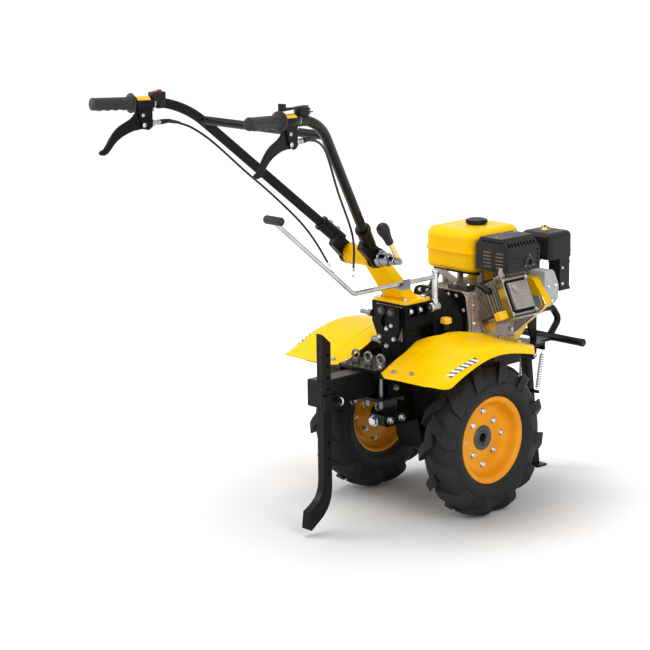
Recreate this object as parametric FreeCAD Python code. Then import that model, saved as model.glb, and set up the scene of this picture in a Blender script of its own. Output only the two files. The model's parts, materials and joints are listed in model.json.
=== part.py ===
"""Two-wheel walk-behind rotary tiller (power unit), modelled in millimetres.

Frame while modelling: X to the machine's right, Y forward, Z up, with the wheel axle over Y = 0 and the
floor at Z = 0.  The finished solids are then slid along Y until the origin is the middle of the base of
the bounding box.  Everything that sits over the wheels is placed from DECK, the height of the top of the
tyres, so that the machine rises with its wheels.
"""

import FreeCAD
import Part

import math
import os

from FreeCAD import Vector

# ---- driving dimensions ------------------------------------------------------------------------------

TYRE_RADIUS = 207.0          # 4.00-8 lug tyre, over its lugs
TYRE_WIDTH = 108.0
TRACK = 406.0                # between the middle planes of the two tyres
RIM_WIDTH = 72.0
BEAD_RADIUS = 101.6          # 8 inch rim
RIM_FLANGE = 13.5            # height of the rim's lip over its bead seat
RIM_SHEET = 3.0
AXLE_FLATS = 23.0            # hexagonal axle, across its flats
AXLE_LENGTH = 396.0
JOURNAL_RADIUS = 14.0
HUB_RADIUS = 20.0
HUB_FLANGE_RADIUS = 70.0
HUB_NOSE_RADIUS = 25.0

CASE_HALF_WIDTH = 45.0
CASE_RADIUS = 70.0           # of the drive case around the axle
GEARBOX_HALF_WIDTH = 64.0
GEARBOX_HEIGHT = 94.0
BELL_RADIUS = 92.0           # clutch housing
CRANK_HEIGHT = 106.0         # crankshaft over the engine's feet

GRIP_LENGTH = 116.0
GRIP_RADIUS = 17.0
TUBE_RADIUS = 12.7           # one-inch handlebar tube
LOWER_RUN = 600.0            # handlebar tube, from the pivot's plane to its bend
GRIP_RUN = 260.0             # and from its bend to the end of the grip
LOWER_RISE, LOWER_SPLAY = 42.4, 28.5      # degrees above level, and out from straight back
GRIP_RISE, GRIP_SPLAY = 3.3, 8.0
TUBE_BEND = 210.0
SERRATED_RADIUS = 25.0
SERRATED_HALF_LENGTH = 43.0

FENDER_SHEET = 2.0
FENDER_OUTSIDE = 300.0       # from the machine's middle plane to a fender's outer edge
FENDER_INSIDE = 70.0
STAND_LEAN = 6.5             # degrees forward of upright
STAKE_TIP_CLEARANCE = 15.0   # under the lowest point of the drag stake
FIT = 0.2                    # between parts that slide together
SEAT = 0.3                   # between round parts of two bodies

# ---- places that follow from them --------------------------------------------------------------------

AXLE_Z = TYRE_RADIUS
DECK = 2 * TYRE_RADIUS
ENGINE_FOOT = DECK - 39
CRANK_Z = ENGINE_FOOT + CRANK_HEIGHT
GEARBOX_TOP = DECK + 150
GEARBOX_BACK, GEARBOX_FRONT = -138.0, -40.0
BELL_FLANGE_Y = 60.0         # the engine's rear face
PIVOT = Vector(0, -238, DECK + 291)       # handlebar's serrated hub
TUBE_OFFSET = 37.0           # from the middle plane to a tube's line, beside the pivot
TUBE_LIFT = 11.0             # and its height over the pivot there
STAND_PIVOT = Vector(0, 410, DECK - 82)
BEAM_HALF_WIDTH = 27.0
PIN_SPACING = 46.0
PIN_Y = -218.0
PIN_RADIUS = 6.0
STAKE_X = (5.0, 27.0)
STAKE_Y = (-411.0, -381.0)

X_AXIS, Y_AXIS, Z_AXIS = Vector(1, 0, 0), Vector(0, 1, 0), Vector(0, 0, 1)
ORIGIN = Vector(0, 0, 0)


# ---- shape helpers -----------------------------------------------------------------------------------

def block(x, y, z):
    """A box from three (low, high) pairs."""
    return Part.makeBox(x[1] - x[0], y[1] - y[0], z[1] - z[0], Vector(x[0], y[0], z[0]))


def soft_block(x, y, z, radius):
    """A box with every edge rounded."""
    box = block(x, y, z)
    return box.makeFillet(radius, box.Edges)


def rod(start, end, radius):
    """A round bar between two points."""
    run = end - start
    return Part.makeCylinder(radius, run.Length, start, run)


def disc(centre, axis, radius, thickness):
    """A round plate whose middle is at the centre."""
    axis = Vector(axis).normalize()
    return Part.makeCylinder(radius, thickness, centre - axis * (thickness / 2), axis)


def bent_path(points, radii):
    """Straight runs through the points, joined by tangent arcs of the given radii."""
    edges = []
    start = points[0]
    for before, corner, after, radius in zip(points, points[1:], points[2:], radii):
        back = (before - corner).normalize()
        ahead = (after - corner).normalize()
        half = back.getAngle(ahead) / 2
        setback = radius / math.tan(half)
        middle = corner + (back + ahead).normalize() * (radius / math.sin(half) - radius)
        first, last = corner + back * setback, corner + ahead * setback
        if (first - start).Length > 1e-6:
            edges.append(Part.LineSegment(start, first).toShape())
        edges.append(Part.Arc(first, middle, last).toShape())
        start = last
    edges.append(Part.LineSegment(start, points[-1]).toShape())
    return Part.Wire(edges)


def bent_rod(points, radii, radius):
    """A round bar along a bent path."""
    path = bent_path(points, radii)
    circle = Part.Wire(Part.Circle(points[0], points[1] - points[0], radius).toShape())
    return path.makePipeShell([circle], True, False)


def closed_outline(points):
    """A closed wire through (point, corner radius) pairs, straight between its rounded corners."""
    edges = []
    starts, ends = [], []
    count = len(points)
    for index, (corner, radius) in enumerate(points):
        back = (points[index - 1][0] - corner).normalize()
        ahead = (points[(index + 1) % count][0] - corner).normalize()
        half = back.getAngle(ahead) / 2
        setback = radius / math.tan(half)
        starts.append(corner + back * setback)
        ends.append(corner + ahead * setback)
        if radius:
            middle = corner + (back + ahead).normalize() * (radius / math.sin(half) - radius)
            edges.append(Part.Arc(starts[-1], middle, ends[-1]).toShape())
    for index in range(count):
        start, end = ends[index], starts[(index + 1) % count]
        if (end - start).Length > 1e-6:
            edges.append(Part.LineSegment(start, end).toShape())
    return Part.Wire(Part.__sortEdges__(edges))


def side_plate(points, x):
    """A plate between two X values, from (y, z, corner radius) points."""
    wire = closed_outline([(Vector(x[0], y, z), radius) for y, z, radius in points])
    return Part.Face(wire).extrude(Vector(x[1] - x[0], 0, 0))


def cross_plate(points, y):
    """A plate between two Y values, from (x, z, corner radius) points."""
    wire = closed_outline([(Vector(x, y[0], z), radius) for x, z, radius in points])
    return Part.Face(wire).extrude(Vector(0, y[1] - y[0], 0))


def level_plate(points, z):
    """A plate between two Z values, from (x, y, corner radius) points."""
    wire = closed_outline([(Vector(x, y, z[0]), radius) for x, y, radius in points])
    return Part.Face(wire).extrude(Vector(0, 0, z[1] - z[0]))


def mirrored(shape):
    """The same piece on the machine's other side."""
    return shape.mirror(ORIGIN, X_AXIS)


def turned_about_x(points, centre):
    """A ring around an X axis, from (x, radius) points in its half section."""
    wire = Part.makePolygon([centre + Vector(x, 0, r) for x, r in points + points[:1]])
    return Part.Face(wire).revolve(centre, X_AXIS, 360)


def hexagon_bar(flats, x, centre):
    """A hexagonal bar along X."""
    corner = flats / math.sqrt(3)
    points = [
        Vector(x[0], centre.y + corner * math.cos(math.radians(60 * k)),
               centre.z + corner * math.sin(math.radians(60 * k)))
        for k in range(7)
    ]
    return Part.Face(Part.makePolygon(points)).extrude(Vector(x[1] - x[0], 0, 0))


def fused(*shapes):
    """Several overlapping shapes as one solid."""
    whole = shapes[0].multiFuse(list(shapes[1:]))
    return whole.removeSplitter()


def pair(shape):
    """A piece and its mirror image, as two solids in one part."""
    return Part.makeCompound([shape, mirrored(shape)])


# ---- wheels ------------------------------------------------------------------------------------------

WHEEL_CENTRE = Vector(TRACK / 2, 0, AXLE_Z)
DISC_X = WHEEL_CENTRE.x + 1.0            # outer face of a wheel's disc
HUB_FLANGE_SHEET = 6.0
HUB_INNER_X = CASE_HALF_WIDTH + 15.0


def tyre():
    """One tyre: a carcass open towards the rim."""
    half, bead = TYRE_WIDTH / 2, RIM_WIDTH / 2 - RIM_SHEET - FIT
    seat = BEAD_RADIUS + FIT
    lip = BEAD_RADIUS + RIM_FLANGE
    wall_middle = (lip + TYRE_RADIUS) / 2 - 8

    def point(x, r):
        return WHEEL_CENTRE + Vector(x, 0, r)

    def curve(*triples):
        return Part.Arc(*[point(*t) for t in triples]).toShape()

    def line(*ends):
        return Part.LineSegment(*[point(*e) for e in ends]).toShape()

    wall, tread, foot = 9.0, 26.0, 10.0        # thickness of sidewall and tread, and width of a bead's foot
    inner_half, inner_crown = half - wall, TYRE_RADIUS - tread
    edges = [
        line((bead, seat), (bead, lip + 1)),
        curve((bead, lip + 1), (half, wall_middle), (half - 6, TYRE_RADIUS - 19)),
        curve((half - 6, TYRE_RADIUS - 19), (0, TYRE_RADIUS), (6 - half, TYRE_RADIUS - 19)),
        curve((6 - half, TYRE_RADIUS - 19), (-half, wall_middle), (-bead, lip + 1)),
        line((-bead, lip + 1), (-bead, seat)),
        line((-bead, seat), (foot - bead, seat)),
        line((foot - bead, seat), (4 - bead, lip + 8)),
        curve((4 - bead, lip + 8), (-inner_half, wall_middle + 6), (16 - half, inner_crown - 10)),
        curve((16 - half, inner_crown - 10), (0, inner_crown), (half - 16, inner_crown - 10)),
        curve((half - 16, inner_crown - 10), (inner_half, wall_middle + 6), (bead - 4, lip + 8)),
        line((bead - 4, lip + 8), (bead - foot, seat)),
        line((bead - foot, seat), (bead, seat)),
    ]
    return Part.Face(Part.Wire(edges)).revolve(WHEEL_CENTRE, X_AXIS, 360)


def rim():
    """One wheel rim: a lipped barrel with a dished disc in its middle."""
    half, sheet = RIM_WIDTH / 2, RIM_SHEET
    seat, lip = BEAD_RADIUS, BEAD_RADIUS + RIM_FLANGE
    well = seat - 9
    outer_face = DISC_X - WHEEL_CENTRE.x
    hole = HUB_NOSE_RADIUS + 0.5
    outside = [(-half, lip), (-half + sheet, lip), (-half + sheet, seat), (-12, seat), (-8, well),
               (8, well), (12, seat), (half - sheet, seat), (half - sheet, lip), (half, lip)]
    inside = [(half, seat - sheet), (14, seat - sheet), (10, well - sheet), (outer_face, well - sheet),
              (outer_face, hole), (outer_face - sheet, hole), (outer_face - sheet, well - sheet),
              (-10, well - sheet), (-14, seat - sheet), (-half, seat - sheet)]
    return turned_about_x(outside + inside, WHEEL_CENTRE)


def wheel_hub():
    """One hub: a hexagonal socket, a flange behind the wheel's disc and a nose through it."""
    centre = Vector(0, 0, AXLE_Z)
    back = DISC_X - RIM_SHEET - FIT

    def barrel(x, radius):
        return Part.makeCylinder(radius, x[1] - x[0], centre + Vector(x[0], 0, 0), X_AXIS)

    body = fused(
        barrel((HUB_INNER_X, back), HUB_RADIUS),
        barrel((back - HUB_FLANGE_SHEET, back), HUB_FLANGE_RADIUS),
        barrel((back - 1, DISC_X + 3), HUB_NOSE_RADIUS),
    )
    socket = hexagon_bar(AXLE_FLATS + 2 * FIT, (HUB_INNER_X - 1, DISC_X + 4), centre)
    return body.cut(socket)


def axle():
    """The one hexagonal shaft through the drive case, round where its bearings hold it."""
    centre = Vector(0, 0, AXLE_Z)
    half = AXLE_LENGTH / 2
    journal = CASE_HALF_WIDTH + 9
    bar = hexagon_bar(AXLE_FLATS, (-half, half), centre)
    sleeve = Part.makeCylinder(JOURNAL_RADIUS, 2 * journal, centre - X_AXIS * journal, X_AXIS)
    return fused(bar, sleeve)


# ---- transmission ------------------------------------------------------------------------------------

GEARBOX_BOTTOM = GEARBOX_TOP - GEARBOX_HEIGHT
DIPSTICK = Vector(90, -16, GEARBOX_TOP - 80)      # foot of the gear-oil dipstick, on its boss


def drive_case():
    """The narrow case that carries the axle, from the axle up to the gearbox."""
    centre = Vector(-CASE_HALF_WIDTH, 0, AXLE_Z)
    width = 2 * CASE_HALF_WIDTH
    foot = Part.makeCylinder(CASE_RADIUS, width, centre, X_AXIS)
    trunk = side_plate(
        [(-CASE_RADIUS, AXLE_Z, 0), (CASE_RADIUS, AXLE_Z, 0), (CASE_RADIUS, ENGINE_FOOT - 9, 0),
         (BELL_FLANGE_Y - 4, ENGINE_FOOT - 1, 0), (40, GEARBOX_BOTTOM, 0), (-120, GEARBOX_BOTTOM, 0),
         (-120, GEARBOX_BOTTOM - 60, 12)],
        (-CASE_HALF_WIDTH, CASE_HALF_WIDTH))
    seals = disc(Vector(0, 0, AXLE_Z), X_AXIS, 31, width + 14)
    bore = disc(Vector(0, 0, AXLE_Z), X_AXIS, JOURNAL_RADIUS + SEAT, width + 30)
    return fused(foot, trunk, seals).cut(bore)


def gearbox():
    """The cast upper gearbox, with two windows in its right side and a shaft bulge under them."""
    half, top = GEARBOX_HALF_WIDTH, GEARBOX_TOP
    body = cross_plate(
        [(-half, top, 3), (half, top, 3), (half, top - 56, 0), (CASE_HALF_WIDTH, GEARBOX_BOTTOM, 0),
         (-CASE_HALF_WIDTH, GEARBOX_BOTTOM, 0), (-half, top - 56, 0)], (GEARBOX_BACK, GEARBOX_FRONT))
    bulge = rod(Vector(half - 14, GEARBOX_BACK, top - 53), Vector(half - 14, GEARBOX_FRONT, top - 53), 19)
    whole = fused(body, bulge)
    for start in (-130, -94):
        window = block((half - 10, half + 1), (start, start + 30), (top - 34, top - 6))
        whole = whole.cut(window)
    return whole


def gearbox_rear_cover():
    """The rounded cover on the gearbox's rear face, with its recess, and the shaft cover under it."""
    middle = Vector(0, GEARBOX_BACK, GEARBOX_TOP - 50)
    plate = cross_plate(
        [(-46, GEARBOX_TOP - 8, 8), (46, GEARBOX_TOP - 8, 8), (46, GEARBOX_TOP - 66, 20),
         (26, GEARBOX_BOTTOM - 12, 12), (-26, GEARBOX_BOTTOM - 12, 12), (-46, GEARBOX_TOP - 66, 20)],
        (GEARBOX_BACK - 12, GEARBOX_BACK))
    recess = Part.makeCylinder(20, 8, middle - Y_AXIS * 13, Y_AXIS)
    return plate.cut(recess)


def clutch_housing():
    """The bell between the gearbox and the engine."""
    centre = Vector(0, 0, CRANK_Z)
    bell = Part.makeCone(BELL_RADIUS - 22, BELL_RADIUS, BELL_FLANGE_Y - 10 - GEARBOX_FRONT,
                         centre + Y_AXIS * GEARBOX_FRONT, Y_AXIS)
    flange = cross_plate(
        [(-88, CRANK_Z + 92, 22), (88, CRANK_Z + 92, 22), (102, CRANK_Z, 40), (88, CRANK_Z - 92, 22),
         (-88, CRANK_Z - 92, 22), (-102, CRANK_Z, 40)], (BELL_FLANGE_Y - 10, BELL_FLANGE_Y))
    boss = block((60, DIPSTICK.x + 12), (DIPSTICK.y - 12, DIPSTICK.y + 12), (DIPSTICK.z - 26, DIPSTICK.z))
    return fused(bell, flange, boss).cut(drive_case())


def oil_dipstick():
    """The knob and threaded neck of the gear-oil dipstick."""
    shoulder = DIPSTICK + Z_AXIS * 20
    return fused(rod(DIPSTICK, shoulder, 8), rod(shoulder, shoulder + Z_AXIS * 14, 13))


# ---- control column and gear lever -------------------------------------------------------------------

COLUMN_HALF_WIDTH = 38.0


def control_column():
    """The leaning column on the gearbox, with the serrated hub that the handlebar clamps to."""
    top = GEARBOX_TOP
    leg = side_plate(
        [(-116, top + 4, 0), (-66, top + 4, 0), (-158, top + 102, 10), (PIVOT.y + 12, PIVOT.z + 12, 8),
         (PIVOT.y - 10, PIVOT.z - 8, 8), (-186, top + 100, 20)],
        (-COLUMN_HALF_WIDTH, COLUMN_HALF_WIDTH))
    flange = level_plate([(-60, -138, 6), (60, -138, 6), (60, -42, 6), (-60, -42, 6)], (top, top + 8))
    hub = disc(PIVOT, X_AXIS, SERRATED_RADIUS, 2 * SERRATED_HALF_LENGTH)
    bore = disc(PIVOT, X_AXIS, 8 + FIT, 2 * SERRATED_HALF_LENGTH + 2)
    return fused(leg, flange, hub).cut(bore)


LEVER_LEVEL = DECK + 215     # of the gear lever's level run
LEVER_RADIUS = 6.0
LEVER_BEND = Vector(75, -344, LEVER_LEVEL)
LEVER_ELBOW = Vector(75, -42, LEVER_LEVEL)
LEVER_TOP = Vector(54, -602, DECK + 436)
LEVER_FOOT_DROP = 80.0       # from the level run to the shift shaft


def gear_lever():
    """The bright shift rod, from its grip down to the clamp on the shift shaft."""
    upper = bent_rod([LEVER_TOP, LEVER_BEND, LEVER_ELBOW], [24], LEVER_RADIUS)
    foot_at = LEVER_ELBOW - Z_AXIS * LEVER_FOOT_DROP
    link = rod(foot_at, LEVER_ELBOW + Z_AXIS * 12, 8)
    foot = disc(foot_at, Y_AXIS, 10, 24)
    shaft_at = Vector(GEARBOX_HALF_WIDTH, foot_at.y - 6, foot_at.z)
    return fused(upper, link, foot, rod(shaft_at, shaft_at + X_AXIS * 8, 5))


def gear_lever_grip():
    """The rubber crosspiece at the top of the gear lever."""
    bar = disc(LEVER_TOP + X_AXIS * 6, X_AXIS, 11, 62)
    bar = bar.makeFillet(6, [e for e in bar.Edges if e.Closed])
    return bar.cut(rod(LEVER_BEND, LEVER_TOP, LEVER_RADIUS))


def lever_guide():
    """The steel gate on the column's right side that the gear lever runs through."""
    plate = block((COLUMN_HALF_WIDTH, LEVER_ELBOW.x + 14), (-176, -150), (LEVER_LEVEL - 14, LEVER_LEVEL - 10))
    wall = block((LEVER_ELBOW.x + 11, LEVER_ELBOW.x + 14), (-176, -150), (LEVER_LEVEL - 14, LEVER_LEVEL + 12))
    return fused(plate, wall)


# ---- handlebar ---------------------------------------------------------------------------------------

def aimed(rise, splay):
    """The unit vector that runs back from the machine, up by the rise and out by the splay."""
    rise, splay = math.radians(rise), math.radians(splay)
    return Vector(math.cos(rise) * math.sin(splay), -math.cos(rise) * math.cos(splay), math.sin(rise))


LOWER_WAY = aimed(LOWER_RISE, LOWER_SPLAY)
GRIP_WAY = aimed(GRIP_RISE, GRIP_SPLAY)
TUBE_FOOT = PIVOT + X_AXIS * TUBE_OFFSET + Z_AXIS * TUBE_LIFT
TUBE_CORNER = TUBE_FOOT + LOWER_WAY * LOWER_RUN
GRIP_END = TUBE_CORNER + GRIP_WAY * GRIP_RUN
SOCKET_START, SOCKET_END = 38.0, 108.0    # along the lower run
SOCKET_RADIUS = 18.5
BRACE_AT = 528.0
CHEEK = 17.0                 # thickness of a socket's serrated cheek


def on_lower_run(distance):
    return TUBE_FOOT + LOWER_WAY * distance


def on_grip_run(distance):
    return TUBE_CORNER + GRIP_WAY * distance


def handlebar_socket():
    """The right forged socket: a cheek against the serrated hub and a barrel around the tube."""
    cheek_x = SERRATED_HALF_LENGTH + SEAT
    cheek = Part.makeCylinder(SERRATED_RADIUS + 1, CHEEK, PIVOT + X_AXIS * cheek_x, X_AXIS)
    barrel = rod(on_lower_run(SOCKET_START), on_lower_run(SOCKET_END), SOCKET_RADIUS)
    neck = side_plate(
        [(PIVOT.y - 6, PIVOT.z - 24, 0), (PIVOT.y + 14, PIVOT.z + 16, 0),
         (PIVOT.y - 44, PIVOT.z + 66, 6), (PIVOT.y - 62, PIVOT.z + 30, 6)],
        (cheek_x, cheek_x + CHEEK))
    seat = rod(on_lower_run(SOCKET_START + 14), on_lower_run(SOCKET_END + 10), TUBE_RADIUS + FIT)
    bore = disc(PIVOT + X_AXIS * cheek_x, X_AXIS, 8 + FIT, 80)
    clear_of_hub = disc(PIVOT, X_AXIS, SERRATED_RADIUS + 6, 2 * cheek_x)
    return fused(cheek, barrel, neck).cut(seat).cut(bore).cut(clear_of_hub)


def handlebar_tube():
    """The right handlebar tube, bent once, from its socket to the inside of its grip."""
    start = on_lower_run(SOCKET_START + 14 + FIT)
    end = GRIP_END - GRIP_WAY * 4
    return bent_rod([start, TUBE_CORNER, end], [TUBE_BEND], TUBE_RADIUS)


def handlebar_brace():
    """The straight tube between the two handlebar tubes, under their bends."""
    right = on_lower_run(BRACE_AT)
    left = Vector(-right.x, right.y, right.z)
    return rod(left, right, 11).cut(handlebar_tube()).cut(mirrored(handlebar_tube()))


def grip():
    """One rubber grip with its flange and rounded end."""
    start = GRIP_END - GRIP_WAY * GRIP_LENGTH
    body = rod(start, GRIP_END, GRIP_RADIUS)
    end = [e for e in body.Edges if e.Closed and e.CenterOfMass.distanceToPoint(GRIP_END) < 1]
    body = body.makeFillet(8, end)
    flange = rod(start, start + GRIP_WAY * 7, 25)
    return fused(body, flange).cut(rod(start - GRIP_WAY, GRIP_END - GRIP_WAY * 4, TUBE_RADIUS + FIT))


LEVER_PLANE_X = GRIP_WAY.cross(Z_AXIS).normalize()       # sideways from a grip
CLAMP_AT = 108.0             # of the lever's clamp, along the grip run
CLAMP_LENGTH = 34.0
LEVER_THICKNESS = 10.0


def under_grip(along, down):
    """A point at a distance along the grip run and a drop below it."""
    return on_grip_run(along) - Z_AXIS * down


def grip_plate(points, thickness):
    """A plate that stands under the grip run, from (along, down, corner radius) points."""
    shift = LEVER_PLANE_X * (thickness / 2)
    wire = closed_outline([(under_grip(a, d) - shift, radius) for a, d, radius in points])
    return Part.Face(wire).extrude(shift * 2)


def lever_bracket():
    """The cast bracket that clamps to the tube and carries the clutch lever and its cable."""
    start, end = on_grip_run(CLAMP_AT - CLAMP_LENGTH / 2), on_grip_run(CLAMP_AT + CLAMP_LENGTH / 2)
    ring = rod(start, end, TUBE_RADIUS + 5)
    web = grip_plate([(86, 12, 0), (128, 12, 0), (126, 38, 4), (116, 69, 6), (102, 74, 6),
                      (72, 61, 4), (58, 56, 3), (58, 43, 3), (72, 42, 6)], 24)
    slot = grip_plate([(96, 28, 0), (140, 28, 0), (140, 80, 0), (96, 80, 0)], LEVER_THICKNESS + 2 * FIT)
    pin_hole = under_grip(108, 50)
    bore = rod(start - GRIP_WAY * 9, end + GRIP_WAY * 9, TUBE_RADIUS + FIT)
    pin = Part.makeCylinder(5, 30, pin_hole - LEVER_PLANE_X * 15, LEVER_PLANE_X)
    return fused(fused(ring, web).cut(slot).cut(bore), pin)


def clutch_lever():
    """The curved blade under the grip, with a ball at its tip."""
    blade = grip_plate(
        [(100, 34, 4), (122, 32, 6), (146, 48, 30), (186, 56, 40), (213, 82, 60), (238, 110, 0),
         (232, 122, 0), (208, 112, 50), (184, 84, 40), (150, 71, 60), (108, 68, 8), (100, 62, 4)],
        LEVER_THICKNESS)
    ball = Part.makeSphere(8.5, under_grip(236, 117))
    eye = Part.makeCylinder(5 + FIT, 40, under_grip(108, 50) - LEVER_PLANE_X * 20, LEVER_PLANE_X)
    return fused(blade, ball).cut(eye)


def cable_adjuster():
    """The bright barrel and its lock nut that the clutch cable comes out of."""
    start, end = under_grip(58, 49.5), under_grip(38, 47)
    barrel = fused(rod(start, end, 5), rod(start, start + (end - start) * 0.35, 8))
    return barrel.cut(lever_bracket())


def stop_switch():
    """The engine's stop switch: a box clamped round the left tube (made on the right)."""
    at = on_grip_run(70)
    ring = rod(on_grip_run(54), on_grip_run(70), TUBE_RADIUS + 3)
    box = block((-14, 14), (-19, 19), (-4, 27))
    box = box.makeFillet(4, [e for e in box.Edges if e.BoundBox.ZMax > 26 or e.BoundBox.ZLength > 20])
    box.rotate(ORIGIN, Z_AXIS, GRIP_SPLAY)
    box.translate(at)
    bore = rod(on_grip_run(30), on_grip_run(104), TUBE_RADIUS + FIT)
    return mirrored(fused(ring, box).cut(bore).cut(handlebar_tube()))


def throttle_control():
    """The thumb throttle on the right tube: a clamp, a round body and its lever."""
    at = on_grip_run(62)
    ring = rod(on_grip_run(52), on_grip_run(80), TUBE_RADIUS + 3)
    body = Part.makeCylinder(19, 16, at + Z_AXIS * 12, Z_AXIS)
    arm = block((-7, 7), (-78, 16), (28, 33))
    thumb = block((-9, 9), (-78, -70), (28, 45))
    lug = block((-6, 6), (-4, 24), (14, 26))
    lever = fused(arm, thumb, lug)
    lever.rotate(ORIGIN, Z_AXIS, GRIP_SPLAY)
    lever.translate(at)
    bore = rod(on_grip_run(10), on_grip_run(130), TUBE_RADIUS + FIT)
    return fused(ring, body, lever).cut(bore).cut(handlebar_tube())


CLAMP_NUT_END = 140.0


def clamp_bolt():
    """The bolt through the serrated hub, with its head on the left and a bell nut on the right."""
    cheek_end = SERRATED_HALF_LENGTH + SEAT + CHEEK
    shank = rod(PIVOT - X_AXIS * (cheek_end + 10), PIVOT + X_AXIS * CLAMP_NUT_END, 8)
    head = hexagon_bar(24, (-cheek_end - 10, -cheek_end), PIVOT)
    washer = rod(PIVOT + X_AXIS * cheek_end, PIVOT + X_AXIS * (cheek_end + 6), 21)
    bell = Part.makeCone(14, 24, 44, PIVOT + X_AXIS * (cheek_end + 6), X_AXIS)
    nut = hexagon_bar(22, (cheek_end + 50, CLAMP_NUT_END - 6), PIVOT)
    return fused(shank, head, washer, bell, nut)


LEVER_FOOT = PIVOT + Vector(CLAMP_NUT_END - 14, 2, 8)
KNOB_END = PIVOT + Vector(128, -52, 90)


def clamp_lever():
    """The tapered bar that turns the bell nut."""
    way = (KNOB_END - LEVER_FOOT).normalize()
    return Part.makeCone(10, 7, 70, LEVER_FOOT, way).cut(clamp_bolt())


def clamp_knob():
    """The black knob at the end of the clamp's bar."""
    way = (KNOB_END - LEVER_FOOT).normalize()
    body = Part.makeCone(11, 14, 40, LEVER_FOOT + way * 52, way)
    head = Part.makeSphere(17, KNOB_END)
    return fused(body, head).cut(Part.makeCone(10 + FIT, 7 + FIT, 70, LEVER_FOOT, way))


# ---- clutch cables, loose at their lower ends --------------------------------------------------------

CABLE_RADIUS = 3.0
RIGHT_CABLE = [(253.4, -664, 1075.5), (243, -625, 1066), (227, -588, 1043), (205, -553, 1010),
               (160, -484, 929), (138, -450, 894), (99, -378, 813), (80, -347, 768),
               (60, -326, 721), (47, -316, 690)]
CABLE_DECK = 414.0           # height of the tops of the tyres that the points were chosen at
CABLE_WIRE = 16.0            # bare wire past the ferrule


def cable_points(side):
    """The chosen points of one cable, from its adjuster to its end fitting."""
    rise = DECK - CABLE_DECK
    return [Vector(side * x, y, z + rise) for x, y, z in RIGHT_CABLE]


def cable_radii(points):
    """Each bend's radius: 0.45 of its shorter run over the tangent of half the turn."""
    radii = []
    for before, corner, after in zip(points, points[1:], points[2:]):
        turn = (corner - before).getAngle(after - corner)
        shorter = min((corner - before).Length, (after - corner).Length)
        radii.append(0.45 * shorter / math.tan(turn / 2))
    return radii


def cable(side):
    points = cable_points(side)
    return bent_rod(points, cable_radii(points), CABLE_RADIUS)


def cable_end(side):
    """The crimped ferrule and bare wire at a cable's lower end."""
    points = cable_points(side)
    way = (points[-1] - points[-2]).normalize()
    ferrule = rod(points[-1], points[-1] + way * 12, CABLE_RADIUS + 0.8)
    wire = rod(points[-1] + way * 11, points[-1] + way * (12 + CABLE_WIRE), 1.2)
    nipple = rod(points[-1] + way * (10 + CABLE_WIRE), points[-1] + way * (15 + CABLE_WIRE), 3)
    return fused(ferrule, wire, nipple)


# ---- engine ------------------------------------------------------------------------------------------

BORE_TILT = 25.0             # cylinder above level, leaning to the machine's right
BORE_Y = 163.0               # the cylinder's middle, along the crankshaft
CRANKCASE_X = (-100.0, 92.0)
CRANKCASE_Y = (BELL_FLANGE_Y, 262.0)
CRANKCASE_TOP = ENGINE_FOOT + 188


def tilted(u, y, v):
    """A box in the cylinder's own directions: along its bore, along the crankshaft, and across."""
    box = block(u, y, v)
    box.rotate(ORIGIN, Y_AXIS, -BORE_TILT)
    box.translate(Vector(0, 0, CRANK_Z))
    return box


def crankcase():
    """The cast crankcase on its feet."""
    body = soft_block(CRANKCASE_X, CRANKCASE_Y, (ENGINE_FOOT + 6, CRANKCASE_TOP), 10)
    feet = block((-84, 84), (88, 236), (ENGINE_FOOT, ENGINE_FOOT + 16))
    return fused(body, feet)


def oil_filler_cap():
    """The capped oil filler on the crankcase's right side, under the barrel."""
    foot = Vector(CRANKCASE_X[1] - 4, BORE_Y - 20, ENGINE_FOOT + 89)
    way = Vector(1, 0, 0.3).normalize()
    cap = fused(rod(foot, foot + way * 12, 10), rod(foot + way * 12, foot + way * 25, 14))
    return cap.cut(crankcase())


def cylinder():
    """The finned barrel and the head."""
    barrel = tilted((80, 150), (BORE_Y - 52, BORE_Y + 54), (-36, 50))
    head = tilted((150, 204), (BORE_Y - 62, BORE_Y + 54), (-62, 52))
    return fused(barrel, head).cut(crankcase())


def valve_cover():
    """The pressed cover on the head."""
    cover = tilted((204, 228), (BORE_Y - 56, BORE_Y + 48), (-58, 48))
    outer = [e for e in cover.Edges if abs(e.BoundBox.XMax - e.BoundBox.XMin) < 100]
    return cover.makeFillet(9, outer)


SCROLL_DEPTH = 44.0


def fan_shroud():
    """The blower housing on the flywheel side: a scroll, and the sloped guide under the cylinder."""
    y = CRANKCASE_Y[1]
    scroll = cross_plate(
        [(-106, ENGINE_FOOT + 50, 40), (-106, ENGINE_FOOT + 180, 50), (-40, ENGINE_FOOT + 220, 30),
         (60, ENGINE_FOOT + 220, 20), (100, ENGINE_FOOT + 150, 20), (100, ENGINE_FOOT + 80, 40),
         (50, ENGINE_FOOT + 6, 40), (-70, ENGINE_FOOT + 6, 40)], (y, y + SCROLL_DEPTH))
    guide = cross_plate(
        [(40, ENGINE_FOOT + 214, 10), (150, ENGINE_FOOT + 214, 20), (200, ENGINE_FOOT + 150, 14),
         (60, ENGINE_FOOT + 38, 8), (40, ENGINE_FOOT + 38, 0)], (y, y + 24))
    return fused(scroll, guide)


def recoil_starter():
    """The round starter housing on the front of the blower housing."""
    start = Vector(0, CRANKCASE_Y[1] + SCROLL_DEPTH, CRANK_Z)
    back = Part.makeCylinder(86, 12, start, Y_AXIS)
    front = Part.makeCone(86, 66, 26, start + Y_AXIS * 12, Y_AXIS)
    handle = rod(start + Vector(-112, 14, 58), start + Vector(-60, 14, 36), 8)
    return fused(back, front, handle)


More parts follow.
